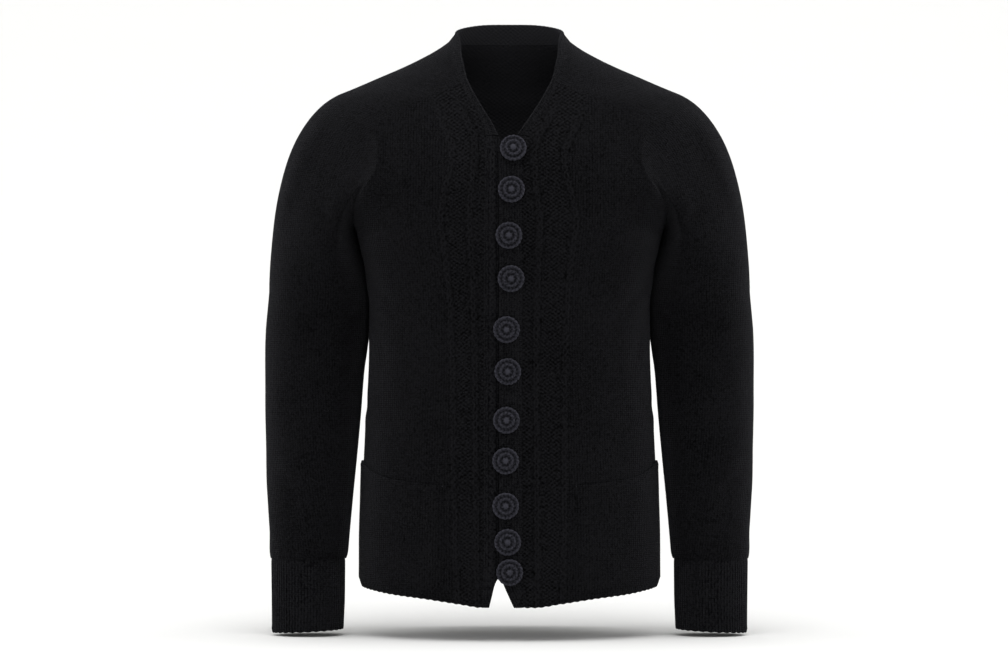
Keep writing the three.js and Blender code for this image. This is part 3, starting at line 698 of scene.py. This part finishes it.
def cloth_mesh(name, sheets):
    """The outer face, the inner face and the rim of a piece of cloth.

    Both faces follow its form, the outer one also its relief. Points of the grids that
    coincide are made into one.
    """
    points, stitch = joined(sheets, "grid"), joined(sheets, "stitch")
    form, relief, pattern = (joined(sheets, part) for part in ("form", "relief", "pattern"))
    wall = joined(sheets, "wall")
    quads = numbered_quads(sheets)
    _, first, shared = np.unique(np.round(points, 3), axis=0, return_index=True, return_inverse=True)
    shared = shared.ravel()
    base = bpy.data.meshes.new("base")
    base.from_pydata(points[first].tolist(), [], shared[quads].tolist())
    base.update()
    normals = np.empty(len(first) * 3)
    base.vertex_normals.foreach_get("vector", normals)
    normals = normals.reshape(-1, 3)
    bpy.data.meshes.remove(base)
    outer = points[first] + normals * (form + relief)[first][:, None]
    inner = points[first] + normals * (form - wall)[first][:, None]
    border = border_of(quads, shared)
    count = len(first)
    rim = np.concatenate([shared[border[:, ::-1]], shared[border] + count], axis=1)
    faces = np.concatenate([shared[quads], shared[quads[:, ::-1]] + count, rim])
    mesh = bpy.data.meshes.new(name)
    mesh.from_pydata((np.concatenate([outer, inner]) * MM).tolist(), [], faces.tolist())
    # The rim's stitches go on from the edge, so that they don't stretch across it.
    rim_stitch = np.concatenate([stitch[border[:, ::-1]], stitch[border] + WALL], axis=1)
    layer = mesh.uv_layers.new(name="knit")
    corners = np.concatenate([stitch[quads], stitch[quads[:, ::-1]], rim_stitch])
    layer.data.foreach_set("uv", (corners * MM).ravel())
    weights = mesh.attributes.new("pattern", "FLOAT_VECTOR", "POINT")
    weights.data.foreach_set("vector", np.concatenate([pattern[first]] * 2).ravel())
    mesh.polygons.foreach_set("use_smooth", [True] * len(faces))
    materials = [0] * len(quads) + [1] * len(quads) + [0] * len(rim)
    mesh.polygons.foreach_set("material_index", materials)
    # The rim meets both faces at a crease, so it doesn't darken or lighten them.
    mesh.set_sharp_from_angle(angle=CREASE_ANGLE)
    mesh.update()
    return mesh


def cloth(name, sheets, material):
    """A piece of cloth in place of its CAD solid."""
    piece = add_object(name + "_knit", cloth_mesh(name, sheets))
    piece.data.materials.append(material)
    piece.data.materials.append(purl_side)
    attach(piece, "root")
    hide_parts(name)


def sheet(grid, wales, form, relief, pattern=None, wall=WALL, turned=False, mirror=False):
    """What one grid brings to a piece. A mirrored one lies on the other side.

    The pattern gives each point its distance in metres from the middle of a raised strip,
    then the weight of that strip and the weight of moss stitch.
    """
    if mirror:
        grid = grid * MIRROR
        turned = not turned
    flat = np.zeros(grid.shape[:2])
    return {
        "grid": grid,
        "stitch": np.stack([wales[0] + flat, wales[1] + flat], axis=-1),
        "form": form + flat,
        "relief": relief + flat,
        "wall": wall + flat,
        "pattern": np.stack([flat] * 3, axis=-1) if pattern is None else pattern,
        "turned": turned,
    }


def linear(colour):
    """An sRGB hex colour as the linear colour that a shader takes."""
    values = [int(colour[k:k + 2], 16) / 255 for k in (1, 3, 5)]
    return tuple(c / 12.92 if c <= 0.04045 else ((c + 0.055) / 1.055) ** 2.4 for c in values) + (1,)


def add_node(tree, kind, sockets=None, **settings):
    """Adds a shader node. A socket takes a value, an output, or a node for the output that it uses."""
    node = tree.nodes.new("ShaderNode" + kind)
    for key, value in settings.items():
        setattr(node, key, value)
    for key, value in (sockets or {}).items():
        if isinstance(value, bpy.types.Node):
            value = next(output for output in value.outputs if output.enabled)
        if isinstance(value, bpy.types.NodeSocket):
            tree.links.new(value, node.inputs[key])
        else:
            node.inputs[key].default_value = value
    return node


def new_material(name):
    material = bpy.data.materials.new(name)
    material.use_nodes = True
    material.node_tree.nodes.clear()
    return material, material.node_tree


def wool_shader(tree, colour, height, distance):
    """Wool: matt, with a pale halo of fibres where the surface turns away."""
    bump = add_node(tree, "Bump", {"Height": height, "Distance": distance, "Strength": 1.0})
    shader = add_node(tree, "BsdfPrincipled", {
        "Base Color": colour,
        "Roughness": 0.92,
        "Specular IOR Level": 0.02,
        "Sheen Weight": 0.045,
        "Sheen Roughness": 0.3,
        "Sheen Tint": linear("#e9e9f4"),
        "Normal": bump,
    })
    add_node(tree, "OutputMaterial", {"Surface": shader})


def plain_stitches(tree, place):
    """Height of plain knit: the two legs of each stitch lean apart as they rise."""
    counted = add_node(tree, "VectorMath", {
        0: place, 1: (1 / (WALE * MM), 1 / (COURSE * MM), 0)}, operation="MULTIPLY")
    parts = add_node(tree, "SeparateXYZ", {0: counted})
    side = add_node(tree, "Math", {0: parts.outputs[0], 1: 0.5}, operation="PINGPONG")
    turn = add_node(tree, "Math", {0: side, 1: 5.0}, operation="MULTIPLY")
    leg = add_node(tree, "Math", {0: turn}, operation="SINE")
    rise = add_node(tree, "Math", {0: parts.outputs[1], 1: side}, operation="ADD")
    course = add_node(tree, "Math", {0: rise, 1: HALF_TURN}, operation="MULTIPLY")
    wave = add_node(tree, "Math", {0: course}, operation="SINE")
    loop = add_node(tree, "Math", {0: wave}, operation="ABSOLUTE")
    tall = add_node(tree, "Math", {0: loop, 1: 0.6, 2: 0.4}, operation="MULTIPLY_ADD")
    return add_node(tree, "Math", {0: leg, 1: tall}, operation="MULTIPLY")


def moss_stitches(tree, place):
    """Height of moss stitch: purl bumps that change places from course to course."""
    turned = add_node(tree, "VectorMath", {
        0: place, 1: (HALF_TURN / (WALE * MM), HALF_TURN / (COURSE * MM), 0)}, operation="MULTIPLY")
    waves = add_node(tree, "VectorMath", {0: turned}, operation="SINE")
    parts = add_node(tree, "SeparateXYZ", {0: waves})
    bumps = add_node(tree, "Math", {
        0: parts.outputs[0], 1: parts.outputs[1]}, operation="MULTIPLY")
    return add_node(tree, "Math", {0: bumps, 1: 0.5, 2: 0.5}, operation="MULTIPLY_ADD")


def crossed_strands(tree, along, across):
    """Height of a raised strip: two strands cross again and again, like a chain of ovals."""
    turn = add_node(tree, "Math", {
        0: along, 1: FULL_TURN / (STRIP["pitch"] * MM)}, operation="MULTIPLY")
    wave = add_node(tree, "Math", {0: turn}, operation="SINE")
    swing = add_node(tree, "Math", {0: wave, 1: STRIP["swing"] * MM}, operation="MULTIPLY")
    gaps = []
    for side in ("ADD", "SUBTRACT"):
        offset = add_node(tree, "Math", {0: across, 1: swing}, operation=side)
        gaps.append(add_node(tree, "Math", {0: offset}, operation="ABSOLUTE"))
    gap = add_node(tree, "Math", {0: gaps[0], 1: gaps[1]}, operation="MINIMUM")
    return add_node(tree, "MapRange", {
        "Value": gap, "From Min": 0.0, "From Max": STRIP["strand"] * MM, "To Min": 1.0, "To Max": 0.0},
        interpolation_type="SMOOTHSTEP")


# Noise cells in a metre. Single fibres of wool, 0.02 mm thick, are too fine to show, so they
# are drawn about 0.7 mm apart, and 1.1 mm on the fuzzy inside. The yarn's own grain is 2.2 mm,
# the wander of its rows 11 mm, patches of wear 70 mm, and a strand of the crochet 1.9 mm.
FIBRES = {"knit": 1500.0, "purl": 900.0, "crochet": 1300.0}
GRAIN = 450.0
WANDER = 90.0
PATCHES = 14.0
STRANDS = 520.0


def wool_knit(name, light, dark):
    """Knitted wool: each stitch shows, its hollows are painted darker as shade, and fibres fleck it."""
    material, tree = new_material(name)
    place = add_node(tree, "UVMap", uv_map="knit")
    # Slow noise shifts the stitches by up to a millimetre, so that no row is perfectly straight.
    wander = add_node(tree, "TexNoise", {"Vector": place, "Scale": WANDER, "Detail": 2.0})
    shifted = add_node(tree, "VectorMath", {
        0: wander.outputs["Color"], 1: (0.0016, 0.0016, 0), 2: place}, operation="MULTIPLY_ADD")
    pattern = add_node(tree, "Attribute", attribute_name="pattern")
    parts = add_node(tree, "SeparateXYZ", {0: pattern.outputs["Vector"]})
    upright = add_node(tree, "SeparateXYZ", {0: place})
    plain = plain_stitches(tree, shifted)
    moss = moss_stitches(tree, shifted)
    strands = crossed_strands(tree, upright.outputs[1], parts.outputs[0])
    ground = add_node(tree, "Mix", {"Factor": parts.outputs[2], "A": plain, "B": moss})
    # The strands of a strip keep a little of the stitches that they are made of.
    softer = add_node(tree, "Math", {0: strands, 1: 0.6}, operation="MULTIPLY")
    twisted = add_node(tree, "Math", {0: plain, 1: 0.5, 2: softer}, operation="MULTIPLY_ADD")
    height = add_node(tree, "Mix", {"Factor": parts.outputs[1], "A": ground, "B": twisted})
    # Fine noise is the single fibres of the yarn, and coarser noise is the yarn's own grain.
    space = add_node(tree, "TexCoord")
    fibres = add_node(tree, "TexNoise", {
        "Vector": space.outputs["Object"], "Scale": FIBRES["knit"], "Detail": 3.0,
        "Roughness": 0.65})
    # Broad patches of slightly different tone come from wear and steaming.
    grain, patches = (
        add_node(tree, "TexNoise", {
            "Vector": space.outputs["Object"], "Scale": scale, "Detail": 2.0})
        for scale in (GRAIN, PATCHES))
    rough = add_node(tree, "Math", {0: fibres, 1: 0.35, 2: height}, operation="MULTIPLY_ADD")
    flecked = add_node(tree, "Math", {0: grain, 1: 2.6, 2: -1.3}, operation="MULTIPLY_ADD")
    worn = add_node(tree, "Math", {0: patches, 1: 0.5, 2: flecked}, operation="MULTIPLY_ADD")
    # The stitches' height also sets the colour: painted shade in their hollows, paler tops.
    tone = add_node(tree, "Math", {
        0: height, 1: 0.75, 2: worn}, operation="MULTIPLY_ADD", use_clamp=True)
    colour = add_node(tree, "Mix", {
        "Factor": tone, 6: linear(dark), 7: linear(light)}, data_type="RGBA")
    wool_shader(tree, colour, rough, 0.0007)
    return material


def wool_purl_side():
    """The inside of the knit: rows of purl bumps, painted paler than the face as light inside."""
    material, tree = new_material("wool_purl_side")
    place = add_node(tree, "UVMap", uv_map="knit")
    bumps = moss_stitches(tree, place)
    fibres = add_node(tree, "TexNoise", {
        "Vector": place, "Scale": FIBRES["purl"], "Detail": 3.0})
    rough = add_node(tree, "Math", {0: fibres, 1: 0.5, 2: bumps}, operation="MULTIPLY_ADD")
    # Both colours are paler than the face: painted light on the inside.
    colour = add_node(tree, "Mix", {
        "Factor": fibres, 6: linear("#1c1c1e"), 7: linear("#323235")}, data_type="RGBA")
    wool_shader(tree, colour, rough, 0.0005)
    return material


def crocheted_wool():
    """Crocheted wool of the buttons: painted light on the crests of its rings, painted shade between.
    """
    material, tree = new_material("wool_crochet")
    space = add_node(tree, "TexCoord")
    fibres = add_node(tree, "TexNoise", {
        "Vector": space.outputs["Object"], "Scale": FIBRES["crochet"], "Detail": 3.0, "Roughness": 0.6})
    strands = add_node(tree, "TexNoise", {
        "Vector": space.outputs["Object"], "Scale": STRANDS, "Detail": 2.0})
    height = add_node(tree, "Math", {0: fibres, 1: 0.5, 2: strands}, operation="MULTIPLY_ADD")
    painted_crest_shading = add_node(tree, "Attribute", attribute_name="painted_crest_shading")
    uneven = add_node(tree, "Math", {0: strands, 1: 2.0, 2: -1.0}, operation="MULTIPLY_ADD")
    # The crest weight paints light on the rings' crests and shade between them.
    tone = add_node(tree, "Math", {
        0: painted_crest_shading.outputs["Fac"], 1: uneven}, operation="ADD", use_clamp=True)
    colour = add_node(tree, "Mix", {
        "Factor": tone, 6: linear("#161619"), 7: linear("#36363d")}, data_type="RGBA")
    wool_shader(tree, colour, height, 0.0005)
    return material


plain_wool = wool_knit("wool_plain_knit", "#161618", "#020202")
# The rib's copy of the wool is painted a little paler, as light that its ribs catch.
rib_wool = wool_knit("wool_rib_knit", "#1a1a1c", "#020203")
purl_side = wool_purl_side()
button_wool = crocheted_wool()


def knit_pattern(gap, weight, moss):
    """The pattern of a piece: how far each point lies from a strip, and its two weights."""
    beside = smooth_step(STRIP["reach"] + 1.2, STRIP["reach"], np.abs(gap))
    return np.stack([gap * MM, beside * weight, moss], axis=-1)


# Folds on each piece: start, end, depth and width, in the piece's stitch coordinates.
FRONT_FOLDS = [
    ((215, -262), (120, -330), 1.6, 12),
    ((225, -300), (150, -385), 1.2, 14),
    ((205, -235), (110, -215), 1.4, 13),
    ((120, -190), (150, -120), 1.3, 12),
    ((225, -430), (120, -455), 1.2, 13),
    ((75, -480), (180, -430), 0.8, 15),
]
BACK_FOLDS = [
    ((-150, -300), (150, -292), 1.6, 15),
    ((-190, -395), (-40, -420), 1.9, 14),
    ((60, -405), (205, -385), 1.8, 14),
    ((-120, -455), (140, -445), 1.5, 16),
    ((-215, -255), (-120, -190), 1.7, 13),
    ((215, -250), (115, -185), 1.7, 13),
    ((-70, -60), (80, -66), 1.2, 14),
    ((-235, -520), (-150, -500), 1.2, 14),
    ((235, -530), (160, -505), 1.2, 14),
]


def front_piece(name, edge, inner_strip, mirror):
    """One front. It also gives what the pocket that is laid on it needs to follow it."""
    grid, i, j = front_grid(edge, 4.2, 1.7)
    u, v = body_wales(grid)
    column = j[None, :] + 0 * i[:, None]
    row = i[:, None] + 0 * j[None, :]
    # Two raised strips run up the front beside the band and bend outward along the V.
    fade = smooth_step(ROW_COUNT, ROW_COUNT - 3, row)
    gaps = [u - np.array([[np.interp(place, j, line)] for line in u]) for place in (inner_strip, 3)]
    gap = np.where(np.abs(gaps[0]) <= np.abs(gaps[1]), *gaps)
    pattern = knit_pattern(gap, fade, smooth_step(3.4, 2.9, column))
    relief = 0.8 * fade * smooth_step(STRIP["reach"] + 1.5, 0, np.abs(gap))
    form = unevenness(u, v, 0.9) * smooth_step(0.5, 5, column)
    for fold in FRONT_FOLDS:
        form = form + soft_fold(u, v, *fold)
    form = form * away_from(grid, ["left", "right", "top"])
    relief = relief * away_from(grid, ["top"]) + edge_dip(grid, ["left", "top", "right"])
    grid, relief = hemmed(grid, u, relief)
    cloth(name, [sheet(grid, (u, v), form, relief, pattern, mirror=mirror)],
          plain_wool)
    return {"grid": grid, "columns": j, "form": form}


front_right = front_piece("front_right", FRONT_RIGHT, 0.75, False)
front_left = front_piece("front_left", FRONT_LEFT, 1.1, True)


def back_piece():
    grid, i, j = back_grid(4.4, 1.9)
    u, v = body_wales(grid)
    form = unevenness(u + 200, v, 1.1)
    for fold in BACK_FOLDS:
        form = form + soft_fold(u, v, *fold)
    form = form * away_from(grid, ["left", "right", "top"])
    grid, relief = hemmed(grid, u, edge_dip(grid, ["left", "top", "right"]))
    cloth("back", [sheet(grid, (u, v), form, relief)], plain_wool)


back_piece()

# Bulges of the sleeve's inner side: height, size, reach up and down.
UNDERARM_BULGES = [(-256, 3.4, 24), (-316, 2.6, 20)]
SLEEVE_FOLDS = [
    ((-150, 300), (-70, 262), 2.2, 11),
    ((-160, 262), (-60, 235), 1.9, 12),
    ((-150, 225), (-85, 196), 1.5, 12),
    ((150, 290), (75, 255), 1.9, 12),
    ((155, 250), (70, 225), 1.8, 13),
    ((-165, 380), (-90, 420), 2.0, 13),
    ((165, 385), (85, 430), 2.2, 14),
    ((-60, 60), (-30, 120), 1.3, 11),
    ((55, 50), (25, 130), 1.3, 12),
    ((0, 20), (12, 95), 1.0, 12),
    ((-100, 20), (-85, 85), 1.2, 11),
    ((105, 30), (85, 100), 1.2, 11),
]


def sleeve_piece(name, mirror):
    saddle, sleeve, j = sleeve_grids(4.3, 2.0)
    middle = int(np.argmin(np.abs(j - SLEEVE_COLUMNS / 2)))
    offset = int(np.sum(j < ARMHOLE_COLUMNS))
    sleeve_u = lengths_from(sleeve, 1, middle)
    sleeve_v = -lengths_from(sleeve, 0, -1)
    saddle_u = lengths_from(saddle, 1, middle - offset)
    over = sleeve_v[0][offset:offset + saddle.shape[1]]
    saddle_v = over[None, :] - lengths_from(saddle, 0, -1)
    saddle_form, sleeve_form = (unevenness(u + 90, v, 1.0) + sum(
        soft_fold(u, v, *fold) for fold in SLEEVE_FOLDS)
        for u, v in ((saddle_u, saddle_v), (sleeve_u, sleeve_v)))
    saddle_form = saddle_form * away_from(saddle, ["left", "right"])
    saddle_relief = edge_dip(saddle, ["bottom", "left", "right"])
    turns = FULL_TURN * j / SLEEVE_COLUMNS
    beside = ((j < ARMHOLE_COLUMNS) | (j > ARMHOLE_COLUMNS + SADDLE_COLUMNS))[None, :]
    from_armhole = np.abs(lengths_from(sleeve, 0, 0))
    from_cuff = np.abs(lengths_from(sleeve, 0, -1))
    around = smooth_step(0, 0.35, np.minimum(turns, FULL_TURN - turns))[None, :]
    sleeve_form = sleeve_form * np.where(beside, smooth_step(0, FOLD_FADE, from_armhole), 1)
    sleeve_form = sleeve_form * around * smooth_step(0, 8, from_cuff)
    # Under the arm the sleeve's cloth bulges until it rests against the side of the body.
    inward = np.exp(-((1 - np.cos(turns)) / 0.12))[None, :]
    for z, size, reach in UNDERARM_BULGES:
        sleeve_form = sleeve_form + size * inward * bell(sleeve[..., 2], z, reach)
    seam = np.where(beside, 1 - smooth_step(0, SEAM_WIDTH, from_armhole), 0)
    # Where the cloth doubles back in the armpit's crease it is pressed thin.
    low = np.minimum(j, SLEEVE_COLUMNS - j)[None, :]
    creased = window(low, 0.4, 1.4, 6, 7.5) * smooth_step(60, 35, from_armhole)
    wall = WALL - 2.1 * creased
    gathers = 0.25 * np.sin(turns * 19)[None, :] * bell(from_cuff, 0, 16)
    sleeve_relief = gathers - SEAM_DEPTH * seam - SEAM_DEPTH * (1 - smooth_step(0, 2.5, from_cuff))
    cloth(name, [
        sheet(saddle, (saddle_u, saddle_v), saddle_form, saddle_relief, turned=True, mirror=mirror),
        sheet(sleeve, (sleeve_u, sleeve_v), sleeve_form, sleeve_relief, wall=wall, turned=True,
              mirror=mirror),
    ], plain_wool)


sleeve_piece("sleeve_right", False)
sleeve_piece("sleeve_left", True)


def cuff_piece(name, mirror):
    grid, turns = cuff_grid(4)
    down = np.abs(lengths_from(grid, 0, 0))
    total = down[-1].max()
    ribs = 0.25 * np.cos(turns * CUFF_RIBS)[None, :] * smooth_step(0, 6, down)
    relief = ribs + edge_dip(grid, ["bottom"], 0.1, 2.5) + edge_dip(grid, ["top"], 0.6, 2.5)
    relief = relief + 0.4 * bell(total - down, 4, 3)
    scallop = 0.6 * np.cos(turns * 27)[None, :] * (1 - smooth_step(0, 7, total - down))
    grid = grid + np.stack([0 * scallop, 0 * scallop, scallop], axis=-1)
    u = turns[None, :] / (FULL_TURN) * CUFF_RIBS * WALE + 0 * down
    cloth(name, [sheet(grid, (u, -down), 0, relief, turned=True, mirror=mirror)],
          rib_wool)


cuff_piece("cuff_right", False)
cuff_piece("cuff_left", True)


def neckband_piece():
    grid, share = neckband_grid(1.3, 12)
    u = lengths_from(grid, 1, grid.shape[1] // 2)
    v = np.abs(lengths_from(grid, 0, 0))
    wide = v[-1][None, :]
    # The free edge rolls outward into a soft cord with small scallops.
    relief = 1.1 * bell(wide - v, 2.2, 1.6) + edge_dip(grid, ["top"], 0.9, 1.6)
    relief = relief + edge_dip(grid, ["bottom"], 0.1, 2.4)
    relief = relief + 0.3 * np.cos(FULL_TURN * u / 6.7) * smooth_step(0.5, 1, share)[:, None]
    cloth("neckband", [sheet(grid, (u, v), 0, relief)], rib_wool)


neckband_piece()


def band_piece(name, edge, side, columns):
    grid, i, share = band_grid(edge, side, 3.2, columns)
    if side == "left":
        share = 1 - share
    # The ribs fade towards the seam, where the band goes over into the front.
    wave = np.cos(FULL_TURN * BAND_RIBS * share) * smooth_step(1, 0.75, share)
    relief = -0.2 * wave[None, :] + edge_dip(grid, ["bottom"], 0.6, 2.2)
    relief = relief + edge_dip(grid, ["left" if side == "right" else "right"], 0.7, 2.0)
    u = lengths_from(grid, 1, 0)
    v = grid[..., 2]
    pattern = None
    if side == "left":
        # A strip shows on the lower band, beside the edge of the one that laps over it.
        pattern = knit_pattern(grid[..., 0] + BAND_STRIP, smooth_step(-120, -140, v), 0 * v)
    cloth(name, [sheet(grid, (u, v), 0, relief, pattern)], rib_wool)


band_piece("buttonhole_band", FRONT_RIGHT, "right", 26)
band_piece("button_band", FRONT_LEFT, "left", 38)


def pocket_piece(name, front, mirror):
    """A patch pocket laid on the front's own surface, sewn down on three sides."""
    face = front["grid"]
    columns = np.where(front["columns"] >= POCKET_COLUMN)[0]
    mouth = by_row(POCKET_MOUTH)(front["columns"][columns] - POCKET_COLUMN)
    rows = 34
    normals = np.cross(np.gradient(face, axis=1), np.gradient(face, axis=0))
    normals = normals / np.linalg.norm(normals, axis=-1, keepdims=True)
    known = np.concatenate([face, normals, front["form"][..., None]], axis=-1)
    laid = np.empty((rows + 1, len(columns), known.shape[-1]))
    whole = np.arange(face.shape[0])
    for n, column in enumerate(columns):
        numbers = np.linspace(POCKET_FOOT * 8, row_of_height(face, column, mouth[n]), rows + 1)
        for part in range(known.shape[-1]):
            laid[:, n, part] = np.interp(numbers, whole, known[:, column, part])
    grid = laid[..., :3] + laid[..., 3:6] * (WALL + LAYER_GAP)
    u, v = body_wales(grid)
    # The sewn sides sink into the front, so that only the mouth shows.
    form = laid[..., 6] + edge_dip(grid, ["bottom", "left"], LAYER_GAP, 9)
    relief = edge_dip(grid, ["bottom", "left"], 2.3, 9)
    drop = np.abs(lengths_from(grid, 0, -1))
    relief = relief + 0.5 * bell(drop, 4, 3.5) - 0.7 * (1 - smooth_step(0, 2, drop))
    cloth(name, [sheet(grid, (u, v), form, relief, mirror=mirror)],
          plain_wool)


pocket_piece("pocket_right", front_right, False)
pocket_piece("pocket_left", front_left, True)


def crocheted_button():
    """One button: a domed disc under rings of crochet stitches, fused into one skin."""
    ball = bpy.ops.mesh.primitive_uv_sphere_add
    ball(segments=48, ring_count=24, radius=1, location=(0, 0, 0))
    disc = bpy.context.object
    disc.scale = (15.0 * MM, 15.0 * MM, 4.2 * MM)
    bpy.ops.object.transform_apply(scale=True)
    bpy.ops.object.mode_set(mode="EDIT")
    bpy.ops.mesh.select_all(action="SELECT")
    bpy.ops.mesh.bisect(plane_co=(0, 0, 0.2 * MM), plane_no=(0, 0, 1), clear_inner=True, use_fill=True)
    bpy.ops.object.mode_set(mode="OBJECT")
    parts = [disc]
    # Rings of stitches: radius, height, stitches, half length, half width, half height.
    rings = [(14.0, 2.2, 17, 2.9, 1.6, 1.9), (8.4, 4.1, 11, 2.6, 1.5, 1.6)]
    for radius, height, count, long, wide, tall in rings:
        for lean in (-1, 1):
            ball(segments=16, ring_count=10, radius=1)
            strand = bpy.context.object
            strand.scale = (long * MM, wide * MM, tall * MM)
            # Each stitch is a V that lies along the ring: its two legs lean in and out.
            strand.rotation_euler = (0, 0, QUARTER_TURN + lean * 0.45)
            step = HALF_TURN / count / 2 * lean
            strand.location = (
                radius * math.cos(step) * MM, radius * math.sin(step) * MM, height * MM)
            bpy.ops.object.transform_apply(location=True, rotation=True, scale=True)
            bpy.ops.object.mode_set(mode="EDIT")
            bpy.ops.mesh.select_all(action="SELECT")
            bpy.ops.mesh.spin(
                steps=count, dupli=True, angle=FULL_TURN, center=(0, 0, 0), axis=(0, 0, 1))
            bpy.ops.object.mode_set(mode="OBJECT")
            parts.append(strand)
    ball(segments=24, ring_count=14, radius=1, location=(0, 0, 4.2 * MM))
    knob = bpy.context.object
    knob.scale = (3.9 * MM, 3.9 * MM, 2.3 * MM)
    bpy.ops.object.transform_apply(location=True, rotation=True, scale=True)
    parts.append(knob)
    bpy.ops.object.select_all(action="DESELECT")
    for part in parts:
        part.select_set(True)
    bpy.context.view_layer.objects.active = disc
    bpy.ops.object.join()
    remesh = disc.modifiers.new("fuse", "REMESH")
    remesh.mode = "VOXEL"
    remesh.voxel_size = 0.5 * MM
    bpy.ops.object.modifier_apply(modifier=remesh.name)
    smooth = disc.modifiers.new("soften", "SMOOTH")
    smooth.factor = 0.5
    smooth.iterations = 2
    bpy.ops.object.modifier_apply(modifier=smooth.name)
    mesh = disc.data
    mesh.polygons.foreach_set("use_smooth", [True] * len(mesh.polygons))
    places = np.empty(len(mesh.vertices) * 3)
    mesh.vertices.foreach_get("co", places)
    places = places.reshape(-1, 3) / MM
    out = np.hypot(places[:, 0], places[:, 1])
    turn = np.arctan2(places[:, 1], places[:, 0])
    # Painted light on the rings' crests, painted shade in their hollows and between stitches.
    painted_crest_shading = np.interp(out, *zip(*BUTTON_CRESTS))
    for radius, count, lean in BUTTON_STITCHES:
        gap = 0.5 + 0.5 * np.cos(count * turn + lean * (out - radius))
        painted_crest_shading = painted_crest_shading - 0.42 * bell(out, radius, 2.2) * gap
    layer = mesh.attributes.new("painted_crest_shading", "FLOAT", "POINT")
    layer.data.foreach_set("value", painted_crest_shading)
    mesh.materials.append(button_wool)
    return disc


def place_buttons():
    pattern = crocheted_button()
    for k, (x, z) in enumerate(BUTTONS):
        rise = front_depth(z + BUTTON_RADIUS) - front_depth(z - BUTTON_RADIUS)
        slope = float(rise) / (2 * BUTTON_RADIUS)
        out = Vector((0, -1, -slope)).normalized()
        point = front_point(np.array(float(x)), np.array(float(z)), LAP_LIFT + RIB_HEIGHT / 2)
        middle = Vector(point.tolist()) + out * BUTTON_SEAT
        turn = Matrix.Rotation(k * 2.1 + 0.4, 4, "Z")
        tilt = Vector((0, 0, 1)).rotation_difference(out).to_matrix().to_4x4()
        mesh = pattern.data.copy()
        mesh.transform(Matrix.Translation(middle * MM) @ tilt @ turn)
        name = f"button_{k + 1:02d}"
        piece = add_object(name + "_crochet", mesh)
        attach(piece, "root")
        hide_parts(name)
    bpy.data.objects.remove(pattern)


place_buttons()


def studio():
    """A pale floor that sweeps up behind, soft light from above and from both sides."""
    floor_z = cad_box[0][2] - 0.004
    # The sweep starts at this distance behind the middle, and its radius is the same.
    sweep = 1.2
    profile = [(-4.5, floor_z), (sweep, floor_z)]
    profile += [(sweep + sweep * math.sin(a), floor_z + sweep - sweep * math.cos(a))
                for a in np.linspace(0.1, QUARTER_TURN, 14)]
    profile.append((2 * sweep, 4.5))
    points = [(x, y, z) for y, z in profile for x in (-5, 5)]
    faces = [(2 * k, 2 * k + 1, 2 * k + 3, 2 * k + 2) for k in range(len(profile) - 1)]
    mesh = bpy.data.meshes.new("floor")
    mesh.from_pydata(points, [], faces)
    mesh.polygons.foreach_set("use_smooth", [True] * len(faces))
    floor = add_object("floor", mesh)
    material, tree = new_material("pale_floor")
    shader = add_node(tree, "BsdfDiffuse", {"Color": linear("#d8d8d7")})
    add_node(tree, "OutputMaterial", {"Surface": shader})
    floor.data.materials.append(material)

    lights = [
        ("top", (0, -0.7, 2.6), (3.2, 2.6), 95),
        ("left", (-2.8, 0.2, 0.5), (1.6, 2.6), 46),
        ("right", (2.8, 0.2, 0.6), (1.6, 2.6), 46),
    ]
    for name, place, size, power in lights:
        data = bpy.data.lights.new(name, "AREA")
        data.shape = "RECTANGLE"
        data.size, data.size_y = size
        data.energy = power
        light = add_object(name, data)
        light.location = place
        aim = Vector((0, 0, -0.35)) - Vector(place)
        light.rotation_euler = aim.to_track_quat("-Z", "Y").to_euler()

    world = bpy.data.worlds.new("studio")
    world.use_nodes = True
    background = world.node_tree.nodes["Background"]
    background.inputs["Color"].default_value = (1, 1, 1, 1)
    background.inputs["Strength"].default_value = 0.66
    bpy.context.scene.world = world
    bpy.context.scene.view_settings.view_transform = "Standard"


studio()

camera_data = bpy.data.cameras.new("camera")
camera_data.sensor_width = 36
camera_data.lens = 104.17
camera = add_object("camera", camera_data)
camera.location = (-0.0066, -3.5, -0.352)
camera.rotation_euler = (QUARTER_TURN, 0, 0)
bpy.context.scene.camera = camera
